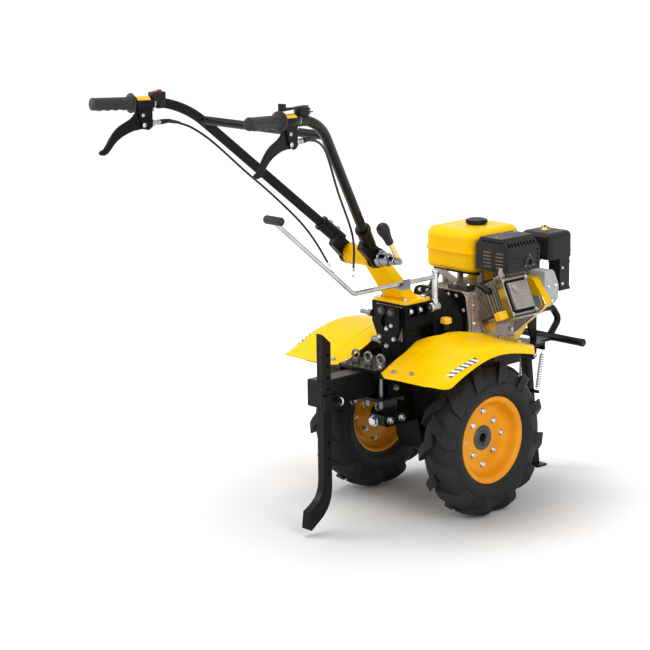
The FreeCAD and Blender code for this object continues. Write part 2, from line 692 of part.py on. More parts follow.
def carburettor_cover():
    """The pale rounded cover beside the carburettor, on the end of the blower housing's guide."""
    y = CRANKCASE_Y[1] + 24
    points = [(y, DECK + 196, 10), (y + 36, DECK + 196, 24), (y + 58, DECK + 150, 24),
              (y + 58, DECK + 108, 20), (y + 20, DECK + 92, 16), (y, DECK + 100, 4)]
    return side_plate(points, (118, 172))


TANK_X, TANK_Y = (-138.0, 50.0), (135.0, 335.0)
TANK_Z = (DECK + 191, DECK + 304)
TANK_SEAM = DECK + 245


def fuel_tank():
    """The pressed tank, with a flange round its seam and a filler neck."""
    body = block(TANK_X, TANK_Y, TANK_Z)
    body = body.makeFillet(34, [e for e in body.Edges if e.BoundBox.ZLength > 60])
    top = [e for e in body.Edges if e.BoundBox.ZMin > TANK_Z[1] - 1]
    body = body.makeFillet(24, top)
    base = [e for e in body.Edges if e.BoundBox.ZMax < TANK_Z[0] + 1]
    body = body.makeFillet(14, base)
    seam = block((TANK_X[0] - 4, TANK_X[1] + 4), (TANK_Y[0] - 4, TANK_Y[1] + 4),
                 (TANK_SEAM - 3, TANK_SEAM + 3))
    seam = seam.makeFillet(38, [e for e in seam.Edges if e.BoundBox.ZLength > 5 and e.BoundBox.XLength < 1
                                and e.BoundBox.YLength < 1])
    return fused(body, seam)


def fuel_cap():
    """The ribbed cap on the filler."""
    foot = Vector(-40, 247, TANK_Z[1])
    return fused(rod(foot, foot + Z_AXIS * 4, 27), rod(foot + Z_AXIS * 4, foot + Z_AXIS * 15, 30))


def tank_mounts():
    """The posts that carry the tank on the crankcase."""
    posts = [rod(Vector(x, y, CRANKCASE_TOP), Vector(x, y, TANK_Z[0]), 9)
             for x in (-90, 40) for y in (175, 235)]
    return Part.makeCompound(posts)


GUARD_X, GUARD_Y = (57.0, 175.0), (137.0, 262.0)
GUARD_Z = (DECK + 208, DECK + 298)
GUARD_SHEET = 2.5
OUTLET = Vector(GUARD_X[1], 218, DECK + 231)
OUTLET_RADIUS = 11.0


def muffler_guard():
    """The louvred guard over the muffler: a shell open underneath, with a hole for the outlet."""
    def outline(inset):
        return [(GUARD_X[0] + inset, GUARD_Z[0] - inset, 0), (GUARD_X[0] + inset, GUARD_Z[1] - 22, 0),
                (GUARD_X[0] + 18, GUARD_Z[1] - inset, 0), (GUARD_X[1] - 26, GUARD_Z[1] - inset, 0),
                (GUARD_X[1] - inset, GUARD_Z[1] - 30, 0), (GUARD_X[1] - inset, GUARD_Z[0] - inset, 0)]
    outer = cross_plate(outline(0), GUARD_Y)
    inner = cross_plate(outline(GUARD_SHEET), (GUARD_Y[0] + GUARD_SHEET, GUARD_Y[1] - GUARD_SHEET))
    hole = rod(OUTLET - X_AXIS * 20, OUTLET + X_AXIS * 20, OUTLET_RADIUS + 3)
    return outer.cut(inner).cut(hole)


def muffler():
    """The muffler inside its guard, its outlet pipe and the pipe from the head."""
    body = soft_block((GUARD_X[0] + 6, GUARD_X[1] - 6), (GUARD_Y[0] + 6, GUARD_Y[1] - 6),
                      (GUARD_Z[0] - 4, GUARD_Z[1] - 32), 12)
    pipe = rod(OUTLET - X_AXIS * 18, OUTLET + X_AXIS * 5, OUTLET_RADIUS)
    hole = rod(OUTLET - X_AXIS * 10, OUTLET + X_AXIS * 6, OUTLET_RADIUS - 2)
    straps = block((GUARD_X[0] + GUARD_SHEET, GUARD_X[1] - GUARD_SHEET), (185, 205),
                   (GUARD_Z[0] + 2, GUARD_Z[0] + 6))
    inlet = rod(Vector(124, BORE_Y, DECK + 176), Vector(120, BORE_Y, GUARD_Z[0] + 10), 15)
    return fused(body, pipe, straps, inlet).cut(hole).cut(cylinder())


CLEANER_X, CLEANER_Y = (64.0, 172.0), (307.0, 404.0)
CLEANER_Z = (DECK + 220, DECK + 292)


def air_cleaner():
    """The air cleaner's box, its raised lid, its snorkel and its elbow to the carburettor."""
    box = block(CLEANER_X, CLEANER_Y, CLEANER_Z)
    box = box.makeFillet(16, [e for e in box.Edges if e.BoundBox.ZLength > 40])
    box = box.makeFillet(14, [e for e in box.Edges if e.BoundBox.ZMin > CLEANER_Z[1] - 1])
    snorkel = block((128, 168), (354, 394), (DECK + 130, CLEANER_Z[0] + 5))
    elbow = rod(Vector(98, 304, DECK + 190), Vector(98, 350, DECK + 226), 14)
    stud = rod(Vector(112, 356, CLEANER_Z[1] - 2), Vector(112, 356, CLEANER_Z[1] + 12), 4)
    return fused(box, snorkel, elbow, stud)


def carburettor():
    """The carburettor between the head and the air cleaner, with its float bowl."""
    level = DECK + 188
    front = CRANKCASE_Y[1] + 24
    body = soft_block((80, 116), (front + 1, 312), (level - 17, level + 17), 4)
    intake = rod(Vector(98, BORE_Y + 40, level), Vector(98, front + 4, level), 13)
    return fused(body, intake).cut(air_cleaner()).cut(cylinder()).cut(fan_shroud()).cut(carburettor_cover())


# ---- frame in front ----------------------------------------------------------------------------------

BED_SHEET = 8.0
BRACKET_SHEET = 8.0
BRACKET_END = 440.0          # front edge of the bracket ahead of the engine's bed
CROSSBAR = Vector(0, 510, DECK - 49)
CROSSBAR_RADIUS = 11.0
CROSSBAR_LENGTH = 250.0
HOOP_RADIUS = 10.0
EAR_X = (18.5, 24.5)         # the stand's ears, from the middle plane
SPRING_X = 38.0
PEG_DROP = 108.0             # from the stand's pivot to its spring pegs, along the leg


def engine_bed():
    """The bed under the engine, bolted to the drive case."""
    top = ENGINE_FOOT
    plate = level_plate([(-92, 84, 4), (92, 84, 4), (92, 300, 10), (50, 350, 6), (-50, 350, 6),
                         (-92, 300, 10)], (top - BED_SHEET, top))
    back = block((-60, 60), (CASE_RADIUS + FIT, CASE_RADIUS + 15), (top - 75, top - BED_SHEET + 2))
    ribs = [block((x - 3, x + 3), (CASE_RADIUS + 8, 300), (top - 36, top - BED_SHEET + 1))
            for x in (-70, 70)]
    return fused(plate, back, *ribs).cut(clutch_housing())


def front_bracket():
    """The plate ahead of the bed, with the stand's ears, a turned-down edge and a tongue."""
    top = ENGINE_FOOT - BED_SHEET
    plate = block((-45, 45), (210, BRACKET_END), (top - BRACKET_SHEET, top))
    lip = block((-45, 45), (BRACKET_END - 6, BRACKET_END), (top - 22, top - 2))
    tongue = block((-22, 22), (BRACKET_END - 8, CROSSBAR.y - CROSSBAR_RADIUS + 4), (top - BRACKET_SHEET, top))
    ears = [side_plate([(STAND_PIVOT.y - 20, top - 2, 0), (STAND_PIVOT.y + 20, top - 2, 0),
                        (STAND_PIVOT.y + 14, STAND_PIVOT.z - 14, 10),
                        (STAND_PIVOT.y - 14, STAND_PIVOT.z - 14, 10)], x)
            for x in (EAR_X, (-EAR_X[1], -EAR_X[0]))]
    pin = rod(STAND_PIVOT - X_AXIS * 31, STAND_PIVOT + X_AXIS * 31, 6)
    return fused(plate, lip, tongue, *ears, pin).cut(front_crossbar())


def front_crossbar():
    """The bar across the front."""
    return disc(CROSSBAR, X_AXIS, CROSSBAR_RADIUS, CROSSBAR_LENGTH)


def front_hoop():
    """The loop over the crossbar and the upright plate that holds its rear end."""
    top = ENGINE_FOOT - BED_SHEET
    start = Vector(0, 440, DECK + 39)
    loop = bent_rod([start, Vector(0, 520, DECK + 35), Vector(0, 550, DECK - 4), CROSSBAR + Vector(0, 5, 7)],
                    [26, 20], HOOP_RADIUS)
    upright = side_plate([(432, top, 0), (450, top, 0), (450, DECK + 44, 6), (418, DECK + 44, 6),
                          (418, DECK - 6, 4)], (-4, 4))
    return fused(loop, upright).cut(front_crossbar())


def stand_way():
    """The direction down the stand's leg."""
    lean = math.radians(STAND_LEAN)
    return Vector(0, math.sin(lean), -math.cos(lean))


def stand_leg():
    """The folding front stand: a leg hung on its pin, its foot plate and its spring pegs."""
    way = stand_way()
    length = STAND_PIVOT.z / -way.z
    boss = disc(STAND_PIVOT, X_AXIS, 13, 2 * EAR_X[0] - 2 * SEAT)
    leg = block((-12, 12), (-10, 10), (-length, 0))
    leg.rotate(ORIGIN, X_AXIS, STAND_LEAN)
    leg.translate(STAND_PIVOT)
    toe = STAND_PIVOT + way * length
    foot = block((-28, 28), (toe.y - 18, toe.y + 22), (0, 6))
    pegs = disc(STAND_PIVOT + way * PEG_DROP, X_AXIS, 5, 2 * SPRING_X - 4)
    floor = block((-60, 60), (toe.y - 60, toe.y + 60), (-20, 0))
    bore = disc(STAND_PIVOT, X_AXIS, 6 + SEAT, 60)
    return fused(boss, leg, foot, pegs).cut(floor).cut(bore)


def stand_springs():
    """The two extension springs, from the bracket's lip to the leg's pegs, as plain round bodies."""
    peg = STAND_PIVOT + stand_way() * PEG_DROP
    lip_foot = ENGINE_FOOT - BED_SHEET - 22
    top = Vector(SPRING_X, BRACKET_END - 3, lip_foot - SEAT)
    bottom = Vector(SPRING_X - 7, peg.y, peg.z)
    way = (bottom - top).normalize()
    clear = 5 + SEAT + 0.6
    return pair(rod(top + way * 1.5, bottom - way * clear, 6))


# ---- fenders -----------------------------------------------------------------------------------------

# (y, height over the tyres) along the arch
FENDER_PROFILE = [(-275, -15), (-250, -5), (-213, 9), (-181, 24), (-150, 36), (-120, 46), (-83, 55),
                  (-35, 59), (20, 54), (80, 42), (130, 30), (171, 19), (225, 6)]
FENDER_COLUMNS = 24          # of points across the sheet, evenly spaced, from a little inside its inner edge
FENDER_FLAT = 0.78           # share of the width that is flat, before the outer edge rolls down
FENDER_ROLL = 19.0
FENDER_RELIEF = 106.0        # from the middle plane to the edge beside the engine


def fender_surface():
    """The right fender's upper surface, a little wider than its sheet.

    Its inner edge lies a little low behind the gearbox and rises beside the engine.
    """
    start, width = FENDER_INSIDE - 23, FENDER_OUTSIDE - FENDER_INSIDE
    step = (FENDER_OUTSIDE - start) / (FENDER_COLUMNS - 1)

    def inner_rise(share, y):
        return max(-6.0, min(14.0, (y + 120) / 5)) * max(0.0, 1 - share / 0.35)

    def roll(share):
        return FENDER_ROLL * max(0.0, (share - FENDER_FLAT) / (1 - FENDER_FLAT)) ** 2.2

    def point(column, y, arch):
        x = start + column * step
        share = (x - FENDER_INSIDE) / width
        return Vector(x, y, DECK + arch + inner_rise(share, y) - roll(share))

    grid = [[point(column, y, arch) for y, arch in FENDER_PROFILE] for column in range(FENDER_COLUMNS)]
    surface = Part.BSplineSurface()
    surface.interpolate(grid)
    return surface.toShape()


def fender():
    """The right fender: an arched sheet with a rolled outer edge, cut back beside the engine."""
    sheet = fender_surface().extrude(Vector(0, 0, -FENDER_SHEET))
    plan = level_plate(
        [(FENDER_INSIDE, -243, 4), (FENDER_INSIDE + 36, -268, 20), (FENDER_OUTSIDE + 1, -268, 58),
         (FENDER_OUTSIDE + 1, 98, 30), (190, 215, 40), (FENDER_RELIEF, 215, 4), (FENDER_RELIEF, -54, 20),
         (FENDER_INSIDE, -110, 20)], (DECK - 60, DECK + 100))
    return sheet.common(plan)


def under_fender(depth):
    """The layer from the right fender's underside down to a depth, or up from it if that is negative."""
    under = fender_surface().translated(Vector(0, 0, -FENDER_SHEET - FIT))
    return under.extrude(Vector(0, 0, -depth))


def fender_pad(x, y, thickness):
    """A strap's end, bent to lie against the right fender's underside."""
    return under_fender(thickness).common(block(x, y, (DECK - 60, DECK + 100)))


BRACKET_TOP = DECK - 2.0     # upper face of the hitch's top plate
HITCH_SHEET = 8.0
BACK_PLATE_Y = -150.0
LOWER_PLATE = DECK - 82.0    # upper face of the hitch's lower plate


def hitch_bracket():
    """The hitch behind the drive case: upper and lower lug plates, a back plate and two cheeks."""
    top = level_plate([(-68, -262, 4), (68, -262, 4), (68, -140, 0), (-68, -140, 0)],
                      (BRACKET_TOP - HITCH_SHEET, BRACKET_TOP))
    ear = fender_pad((60, 190), (-262, -240), 6)
    web = block((60, 67), (-262, -240), (BRACKET_TOP - 22, BRACKET_TOP - 2))
    ears = [ear, web, mirrored(ear), mirrored(web)]
    bottom = level_plate([(-62, -248, 14), (62, -248, 14), (62, -140, 0), (-62, -140, 0)],
                         (LOWER_PLATE - HITCH_SHEET, LOWER_PLATE))
    back = block((-62, 62), (BACK_PLATE_Y, BACK_PLATE_Y + 10), (LOWER_PLATE - 20, BRACKET_TOP - 2))
    cheeks = [block(x, (-204, BACK_PLATE_Y + 4), (LOWER_PLATE - 3, BRACKET_TOP - 3))
              for x in ((56, 62), (-62, -56))]
    stem = block((-30, 30), (BACK_PLATE_Y + 8, -60), (LOWER_PLATE - 80, BRACKET_TOP - 12))
    lug = side_plate([(-60, LOWER_PLATE - 92, 0), (-60, LOWER_PLATE - 56, 0), (-196, LOWER_PLATE - 56, 12),
                      (-196, LOWER_PLATE - 92, 12)], (-20, 35))
    whole = fused(top, *ears, bottom, back, *cheeks, stem, lug).cut(drive_case())
    for x in (-PIN_SPACING, 0, PIN_SPACING):
        whole = whole.cut(rod(Vector(x, PIN_Y, LOWER_PLATE - 30), Vector(x, PIN_Y, BRACKET_TOP + 10),
                              PIN_RADIUS + FIT))
    return whole


PIN_REACH = 32.0             # of a hitch pin, under the lower plate
CLIP_RADIUS = 11.0


def hitch_pins():
    """The three hitch pins, each with an eye on top and a ring clip under the lower plate."""
    pins = []
    clip_z = LOWER_PLATE - PIN_REACH + 8
    for x in (-PIN_SPACING, 0, PIN_SPACING):
        collar = rod(Vector(x, PIN_Y, BRACKET_TOP + SEAT), Vector(x, PIN_Y, BRACKET_TOP + 8), 11)
        shank = rod(Vector(x, PIN_Y, LOWER_PLATE - PIN_REACH), Vector(x, PIN_Y, BRACKET_TOP + 8), PIN_RADIUS)
        eye = Part.makeTorus(12, 3.5, Vector(x, PIN_Y, BRACKET_TOP + 19), Y_AXIS)
        clip = Part.makeTorus(CLIP_RADIUS, 2, Vector(x, PIN_Y - CLIP_RADIUS + 2, clip_z), X_AXIS)
        pins.append(fused(collar, shank, eye, clip))
    return Part.makeCompound(pins)


BEAM_END = -414.0
BEAM_TOP, BEAM_BOTTOM = BRACKET_TOP - HITCH_SHEET - SEAT, LOWER_PLATE + SEAT


def drawbar():
    """The beam that the middle pin holds in the hitch, notched at its end for the drag stake."""
    beam = block((-BEAM_HALF_WIDTH, BEAM_HALF_WIDTH), (BEAM_END, BACK_PLATE_Y - 2), (BEAM_BOTTOM, BEAM_TOP))
    beam = beam.makeFillet(4, [e for e in beam.Edges if e.BoundBox.YLength > 100])
    notch = block((STAKE_X[0] - FIT, BEAM_HALF_WIDTH + 1), (STAKE_Y[0] - FIT, STAKE_Y[1] + FIT),
                  (BEAM_BOTTOM - 1, BEAM_TOP + 1))
    hole = rod(Vector(0, PIN_Y, BEAM_BOTTOM - 1), Vector(0, PIN_Y, BEAM_TOP + 1), PIN_RADIUS + FIT)
    return beam.cut(notch).cut(hole)


def drag_stake():
    """The drag stake: a flat bar with adjusting holes, hooked back to a point at its foot."""
    back, front = STAKE_Y
    tip = STAKE_TIP_CLEARANCE
    bar = side_plate(
        [(back, DECK + 107, 2), (front - 8, DECK + 107, 2), (front, DECK + 92, 0), (front, tip + 86, 40),
         (front - 11, tip + 50, 20), (front - 76, tip, 3), (front - 90, tip + 8, 3),
         (front - 85, tip + 52, 8), (back, tip + 98, 30)],
        STAKE_X)
    for step in range(5):
        at = Vector(STAKE_X[0] - 1, (back + front) / 2 + 4, DECK + 56 - 30 * step)
        bar = bar.cut(rod(at, at + X_AXIS * 40, 4))
    return bar


def stake_clamp():
    """The plate and bolt that hold the stake in the beam's notch."""
    x = BEAM_HALF_WIDTH + FIT
    plate = block((x, x + 7), (STAKE_Y[0] - 2, STAKE_Y[1] + 26), (BEAM_BOTTOM - 8, BEAM_BOTTOM + 32))
    centre = Vector(0, STAKE_Y[1] + 13, BEAM_BOTTOM + 16)
    bolt = rod(centre + X_AXIS * (x + 5), centre + X_AXIS * (x + 26), 5)
    nut = hexagon_bar(17, (x + 7, x + 15), centre)
    return fused(plate, bolt, nut)


def fender_struts():
    """The two bent straps from the engine's bed out to the fronts of the fenders."""
    low, high, y = ENGINE_FOOT - BED_SHEET, DECK + 22, (146, 164)
    riser = cross_plate([(92, low, 0), (92, ENGINE_FOOT, 0), (106, ENGINE_FOOT, 0), (128, high, 0),
                         (134, high, 0), (109, low, 0)], y).cut(under_fender(-60))
    return pair(fused(riser, fender_pad((129, 192), y, 6)))


# ---- all parts ---------------------------------------------------------------------------------------

def build():
    """Every part by name, in the modelling frame."""
    hub, wheel, tread = wheel_hub(), rim(), tyre()
    parts = {
        "axle_shaft": axle(),
        "wheel_hubs": pair(hub),
        "rim_right": wheel,
        "rim_left": mirrored(wheel),
        "tyre_right": tread,
        "tyre_left": mirrored(tread),
        "drive_case": drive_case(),
        "gearbox": gearbox(),
        "gearbox_rear_cover": gearbox_rear_cover(),
        "clutch_housing": clutch_housing(),
        "oil_dipstick": oil_dipstick(),
        "control_column": control_column(),
        "gear_lever": gear_lever(),
        "gear_lever_grip": gear_lever_grip(),
        "lever_guide": lever_guide(),
        "handlebar_sockets": pair(handlebar_socket()),
        "handlebar_tube_right": handlebar_tube(),
        "handlebar_tube_left": mirrored(handlebar_tube()),
        "handlebar_brace": handlebar_brace(),
        "grips": pair(grip()),
        "lever_brackets": pair(lever_bracket()),
        "clutch_levers": pair(clutch_lever()),
        "cable_adjusters": pair(cable_adjuster()),
        "stop_switch": stop_switch(),
        "throttle_control": throttle_control(),
        "clamp_bolt": clamp_bolt(),
        "clamp_lever": clamp_lever(),
        "clamp_knob": clamp_knob(),
        "clutch_cable_right": cable(1),
        "clutch_cable_left": cable(-1),
        "clutch_cable_ends": Part.makeCompound([cable_end(1), cable_end(-1)]),
        "crankcase": crankcase(),
        "oil_filler_cap": oil_filler_cap(),
        "cylinder": cylinder(),
        "valve_cover": valve_cover(),
        "fan_shroud": fan_shroud(),
        "recoil_starter": recoil_starter(),
        "fuel_tank": fuel_tank(),
        "fuel_cap": fuel_cap(),
        "tank_mounts": tank_mounts(),
        "muffler_guard": muffler_guard(),
        "muffler": muffler(),
        "air_cleaner": air_cleaner(),
        "carburettor": carburettor(),
        "carburettor_cover": carburettor_cover(),
        "engine_bed": engine_bed(),
        "front_bracket": front_bracket(),
        "front_crossbar": front_crossbar(),
        "front_hoop": front_hoop(),
        "stand_leg": stand_leg(),
        "stand_springs": stand_springs(),
        "fender_right": fender(),
        "fender_left": mirrored(fender()),
        "fender_struts": fender_struts(),
        "hitch_bracket": hitch_bracket(),
        "hitch_pins": hitch_pins(),
        "drawbar": drawbar(),
        "drag_stake": drag_stake(),
        "stake_clamp": stake_clamp(),
    }
    return parts


CORDS = ("clutch_cable_right", "clutch_cable_left", "clutch_cable_ends")


def frame_shift(parts):
    """How far the solids slide so that the origin is the middle of the base of their box."""
    bounds = FreeCAD.BoundBox()
    for name, shape in parts.items():
        if name not in CORDS:
            bounds.add(shape.optimalBoundingBox(False))
    return Vector(0, -(bounds.YMin + bounds.YMax) / 2, 0)


def main():
    os.makedirs("parts", exist_ok=True)
    parts = build()
    shift = frame_shift(parts)
    for name, shape in parts.items():
        shape.translate(shift)
        shape.exportStep("parts/" + name + ".step")
        print(name, len(shape.Solids), round(shape.Volume / 1000, 1), shape.isValid())
    print("shift", round(shift.y, 3), "cable bends",
          [round(radius, 1) for radius in cable_radii(cable_points(1))])


if __name__ == "__main__":
    main()
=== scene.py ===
"""Looks of a two-wheel walk-behind tiller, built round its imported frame.

Places are written in millimetres: right of the machine's middle, ahead of its axle and above the floor.
"""

import json
import math
import sys

import bmesh
import bpy
from bpy.props import FloatProperty, IntProperty, PointerProperty, StringProperty
from mathutils import Matrix, Vector
from mathutils.bvhtree import BVHTree
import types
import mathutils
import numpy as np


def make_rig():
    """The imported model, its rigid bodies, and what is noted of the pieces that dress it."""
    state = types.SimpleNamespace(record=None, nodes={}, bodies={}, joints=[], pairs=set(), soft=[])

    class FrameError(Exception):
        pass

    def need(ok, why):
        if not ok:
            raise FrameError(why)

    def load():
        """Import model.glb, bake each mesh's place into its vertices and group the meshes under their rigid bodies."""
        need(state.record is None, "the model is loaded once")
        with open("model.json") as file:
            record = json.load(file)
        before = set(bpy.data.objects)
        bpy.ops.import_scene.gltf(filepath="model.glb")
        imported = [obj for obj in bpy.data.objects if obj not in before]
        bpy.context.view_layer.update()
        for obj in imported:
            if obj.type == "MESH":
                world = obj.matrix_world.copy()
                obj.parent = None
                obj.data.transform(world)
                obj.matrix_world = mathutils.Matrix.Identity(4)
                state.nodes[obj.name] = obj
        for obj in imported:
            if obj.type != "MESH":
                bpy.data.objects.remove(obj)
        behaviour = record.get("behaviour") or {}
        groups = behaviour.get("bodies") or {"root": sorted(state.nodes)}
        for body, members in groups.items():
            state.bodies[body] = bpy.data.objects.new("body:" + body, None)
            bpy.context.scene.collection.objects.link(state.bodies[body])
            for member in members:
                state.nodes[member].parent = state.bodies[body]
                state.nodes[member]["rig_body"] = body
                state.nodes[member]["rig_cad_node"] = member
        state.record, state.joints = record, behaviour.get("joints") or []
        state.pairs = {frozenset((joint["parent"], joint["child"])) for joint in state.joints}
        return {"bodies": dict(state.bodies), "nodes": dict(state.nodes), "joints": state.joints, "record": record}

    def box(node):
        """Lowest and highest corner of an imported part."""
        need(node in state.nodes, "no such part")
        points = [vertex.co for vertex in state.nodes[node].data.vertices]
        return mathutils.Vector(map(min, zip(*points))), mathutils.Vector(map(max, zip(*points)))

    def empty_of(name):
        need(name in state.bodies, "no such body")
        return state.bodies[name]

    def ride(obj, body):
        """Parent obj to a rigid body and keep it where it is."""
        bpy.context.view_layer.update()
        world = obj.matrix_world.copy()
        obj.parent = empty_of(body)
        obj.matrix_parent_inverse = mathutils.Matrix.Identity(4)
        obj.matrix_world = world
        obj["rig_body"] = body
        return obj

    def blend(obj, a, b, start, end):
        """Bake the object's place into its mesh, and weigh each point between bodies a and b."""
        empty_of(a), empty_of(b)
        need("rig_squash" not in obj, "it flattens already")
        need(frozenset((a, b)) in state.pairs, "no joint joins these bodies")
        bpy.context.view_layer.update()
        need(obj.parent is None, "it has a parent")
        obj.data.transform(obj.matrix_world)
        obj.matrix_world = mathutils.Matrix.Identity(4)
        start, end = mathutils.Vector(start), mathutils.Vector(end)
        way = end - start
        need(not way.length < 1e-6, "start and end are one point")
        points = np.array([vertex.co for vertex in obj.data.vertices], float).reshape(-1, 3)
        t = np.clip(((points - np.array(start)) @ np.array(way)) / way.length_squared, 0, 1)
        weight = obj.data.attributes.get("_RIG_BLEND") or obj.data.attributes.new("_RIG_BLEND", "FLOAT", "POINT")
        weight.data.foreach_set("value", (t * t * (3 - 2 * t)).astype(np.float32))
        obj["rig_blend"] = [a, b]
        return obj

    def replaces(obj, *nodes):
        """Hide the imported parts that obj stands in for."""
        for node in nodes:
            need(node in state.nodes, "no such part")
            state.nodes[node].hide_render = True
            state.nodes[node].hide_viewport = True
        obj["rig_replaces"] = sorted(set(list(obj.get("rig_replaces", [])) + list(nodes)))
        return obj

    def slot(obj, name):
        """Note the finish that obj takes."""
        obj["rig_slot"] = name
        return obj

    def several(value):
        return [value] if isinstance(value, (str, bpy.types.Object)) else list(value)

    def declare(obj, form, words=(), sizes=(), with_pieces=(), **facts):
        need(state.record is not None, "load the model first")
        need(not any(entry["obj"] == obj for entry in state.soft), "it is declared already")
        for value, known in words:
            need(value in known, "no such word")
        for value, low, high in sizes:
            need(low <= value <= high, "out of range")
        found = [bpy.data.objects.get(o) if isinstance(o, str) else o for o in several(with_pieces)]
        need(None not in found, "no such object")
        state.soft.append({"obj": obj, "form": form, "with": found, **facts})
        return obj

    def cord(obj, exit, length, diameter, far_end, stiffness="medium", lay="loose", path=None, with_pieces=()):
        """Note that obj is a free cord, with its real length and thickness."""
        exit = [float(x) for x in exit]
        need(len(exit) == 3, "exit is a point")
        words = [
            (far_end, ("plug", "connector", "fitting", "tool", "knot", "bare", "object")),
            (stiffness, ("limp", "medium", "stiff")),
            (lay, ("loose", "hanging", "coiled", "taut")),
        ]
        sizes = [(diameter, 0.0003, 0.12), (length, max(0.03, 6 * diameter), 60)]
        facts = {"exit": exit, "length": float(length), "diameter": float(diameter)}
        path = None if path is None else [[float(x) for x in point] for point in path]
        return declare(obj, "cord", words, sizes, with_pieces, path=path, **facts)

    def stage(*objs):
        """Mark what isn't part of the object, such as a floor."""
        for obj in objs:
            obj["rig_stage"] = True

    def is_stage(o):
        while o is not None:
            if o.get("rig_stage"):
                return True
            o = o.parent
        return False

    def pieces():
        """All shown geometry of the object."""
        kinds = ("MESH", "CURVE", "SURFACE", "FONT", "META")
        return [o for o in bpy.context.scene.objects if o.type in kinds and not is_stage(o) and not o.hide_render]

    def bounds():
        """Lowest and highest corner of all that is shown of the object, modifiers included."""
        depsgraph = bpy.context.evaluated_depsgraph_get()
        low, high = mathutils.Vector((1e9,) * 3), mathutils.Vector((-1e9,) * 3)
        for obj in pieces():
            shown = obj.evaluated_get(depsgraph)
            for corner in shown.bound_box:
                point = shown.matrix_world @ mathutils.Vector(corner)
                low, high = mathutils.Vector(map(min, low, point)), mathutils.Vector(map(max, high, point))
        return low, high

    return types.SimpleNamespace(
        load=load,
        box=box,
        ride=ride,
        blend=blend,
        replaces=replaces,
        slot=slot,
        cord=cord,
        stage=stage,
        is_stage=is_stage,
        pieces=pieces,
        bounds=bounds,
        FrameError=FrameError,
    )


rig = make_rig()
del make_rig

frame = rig.load()
CAD_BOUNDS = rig.bounds()
NODES = frame["nodes"]

bl_info = {
    "name": "Walk-behind tiller",
    "version": (1, 0, 0),
    "blender": (4, 5, 0),
    "location": "3D View > Sidebar > Tiller",
    "description": "Tyres, engine details, fasteners and finishes for a two-wheel tiller",
    "category": "Object",
}


# ---- places and sizes --------------------------------------------------------------------------------

def middle(name):
    """The middle of a node's box at rest, in metres."""
    low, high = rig.box(name)
    return (low + high) / 2


AXLE = middle("axle_shaft") * 1000
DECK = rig.box("tyre_right")[1].z * 1000       # height of the top of the tyres
WHEEL_X = middle("tyre_right").x * 1000


def at(x, y, z):
    """A place in metres, from millimetres right of the middle, ahead of the axle and above the floor."""
    return Vector((x, y + AXLE.y, z)) / 1000


def aimed(rise, splay):
    """The direction that runs back, up by the rise and out by the splay, in degrees."""
    rise, splay = math.radians(rise), math.radians(splay)
    return Vector((math.cos(rise) * math.sin(splay), -math.cos(rise) * math.cos(splay), math.sin(rise)))


PIVOT = Vector((0, -238, DECK + 291))
LOWER_WAY, GRIP_WAY = aimed(42.4, 28.5), aimed(3.3, 8.0)
TUBE_FOOT = PIVOT + Vector((37, 0, 11))
TUBE_CORNER = TUBE_FOOT + LOWER_WAY * 600
GRIP_RUN = 260                                # from the tube's corner to the grip's end
CRANK_Z = DECK + 67
BORE_TILT = math.radians(25)
BORE_Y = 163


def mm(point):
    """A millimetre place held in a vector, in metres."""
    return at(*point)


def in_mm(place):
    """The millimetres of a place in metres, the other way round from at."""
    return (place.x * 1000, place.y * 1000 - AXLE.y, place.z * 1000)


def tilted(along, y, across):
    """A place in metres from millimetres along the cylinder's bore, ahead of the axle and across the bore."""
    c, s = math.cos(BORE_TILT), math.sin(BORE_TILT)
    return at(along * c - across * s, y, CRANK_Z + along * s + across * c)


def near_origin(x, y, z):
    """A place in metres, from millimetres about the origin, for a shape that is copied."""
    return Vector((x, y, z)) / 1000


# ---- finishes ----------------------------------------------------------------------------------------

def linear(code):
    """An sRGB hex colour as linear red, green, blue and alpha."""
    values = [int(code[i:i + 2], 16) / 255 for i in (0, 2, 4)]
    return tuple(v / 12.92 if v <= 0.04045 else ((v + 0.055) / 1.055) ** 2.4 for v in values) + (1.0,)


def node(tree, kind, sockets=None, **settings):
    """A node with its settings, and its sockets set or linked."""
    made = tree.nodes.new(kind)
    for name, value in settings.items():
        setattr(made, name, value)
    for name, value in (sockets or {}).items():
        if isinstance(value, bpy.types.NodeSocket):
            tree.links.new(value, made.inputs[name])
        else:
            made.inputs[name].default_value = value
    return made


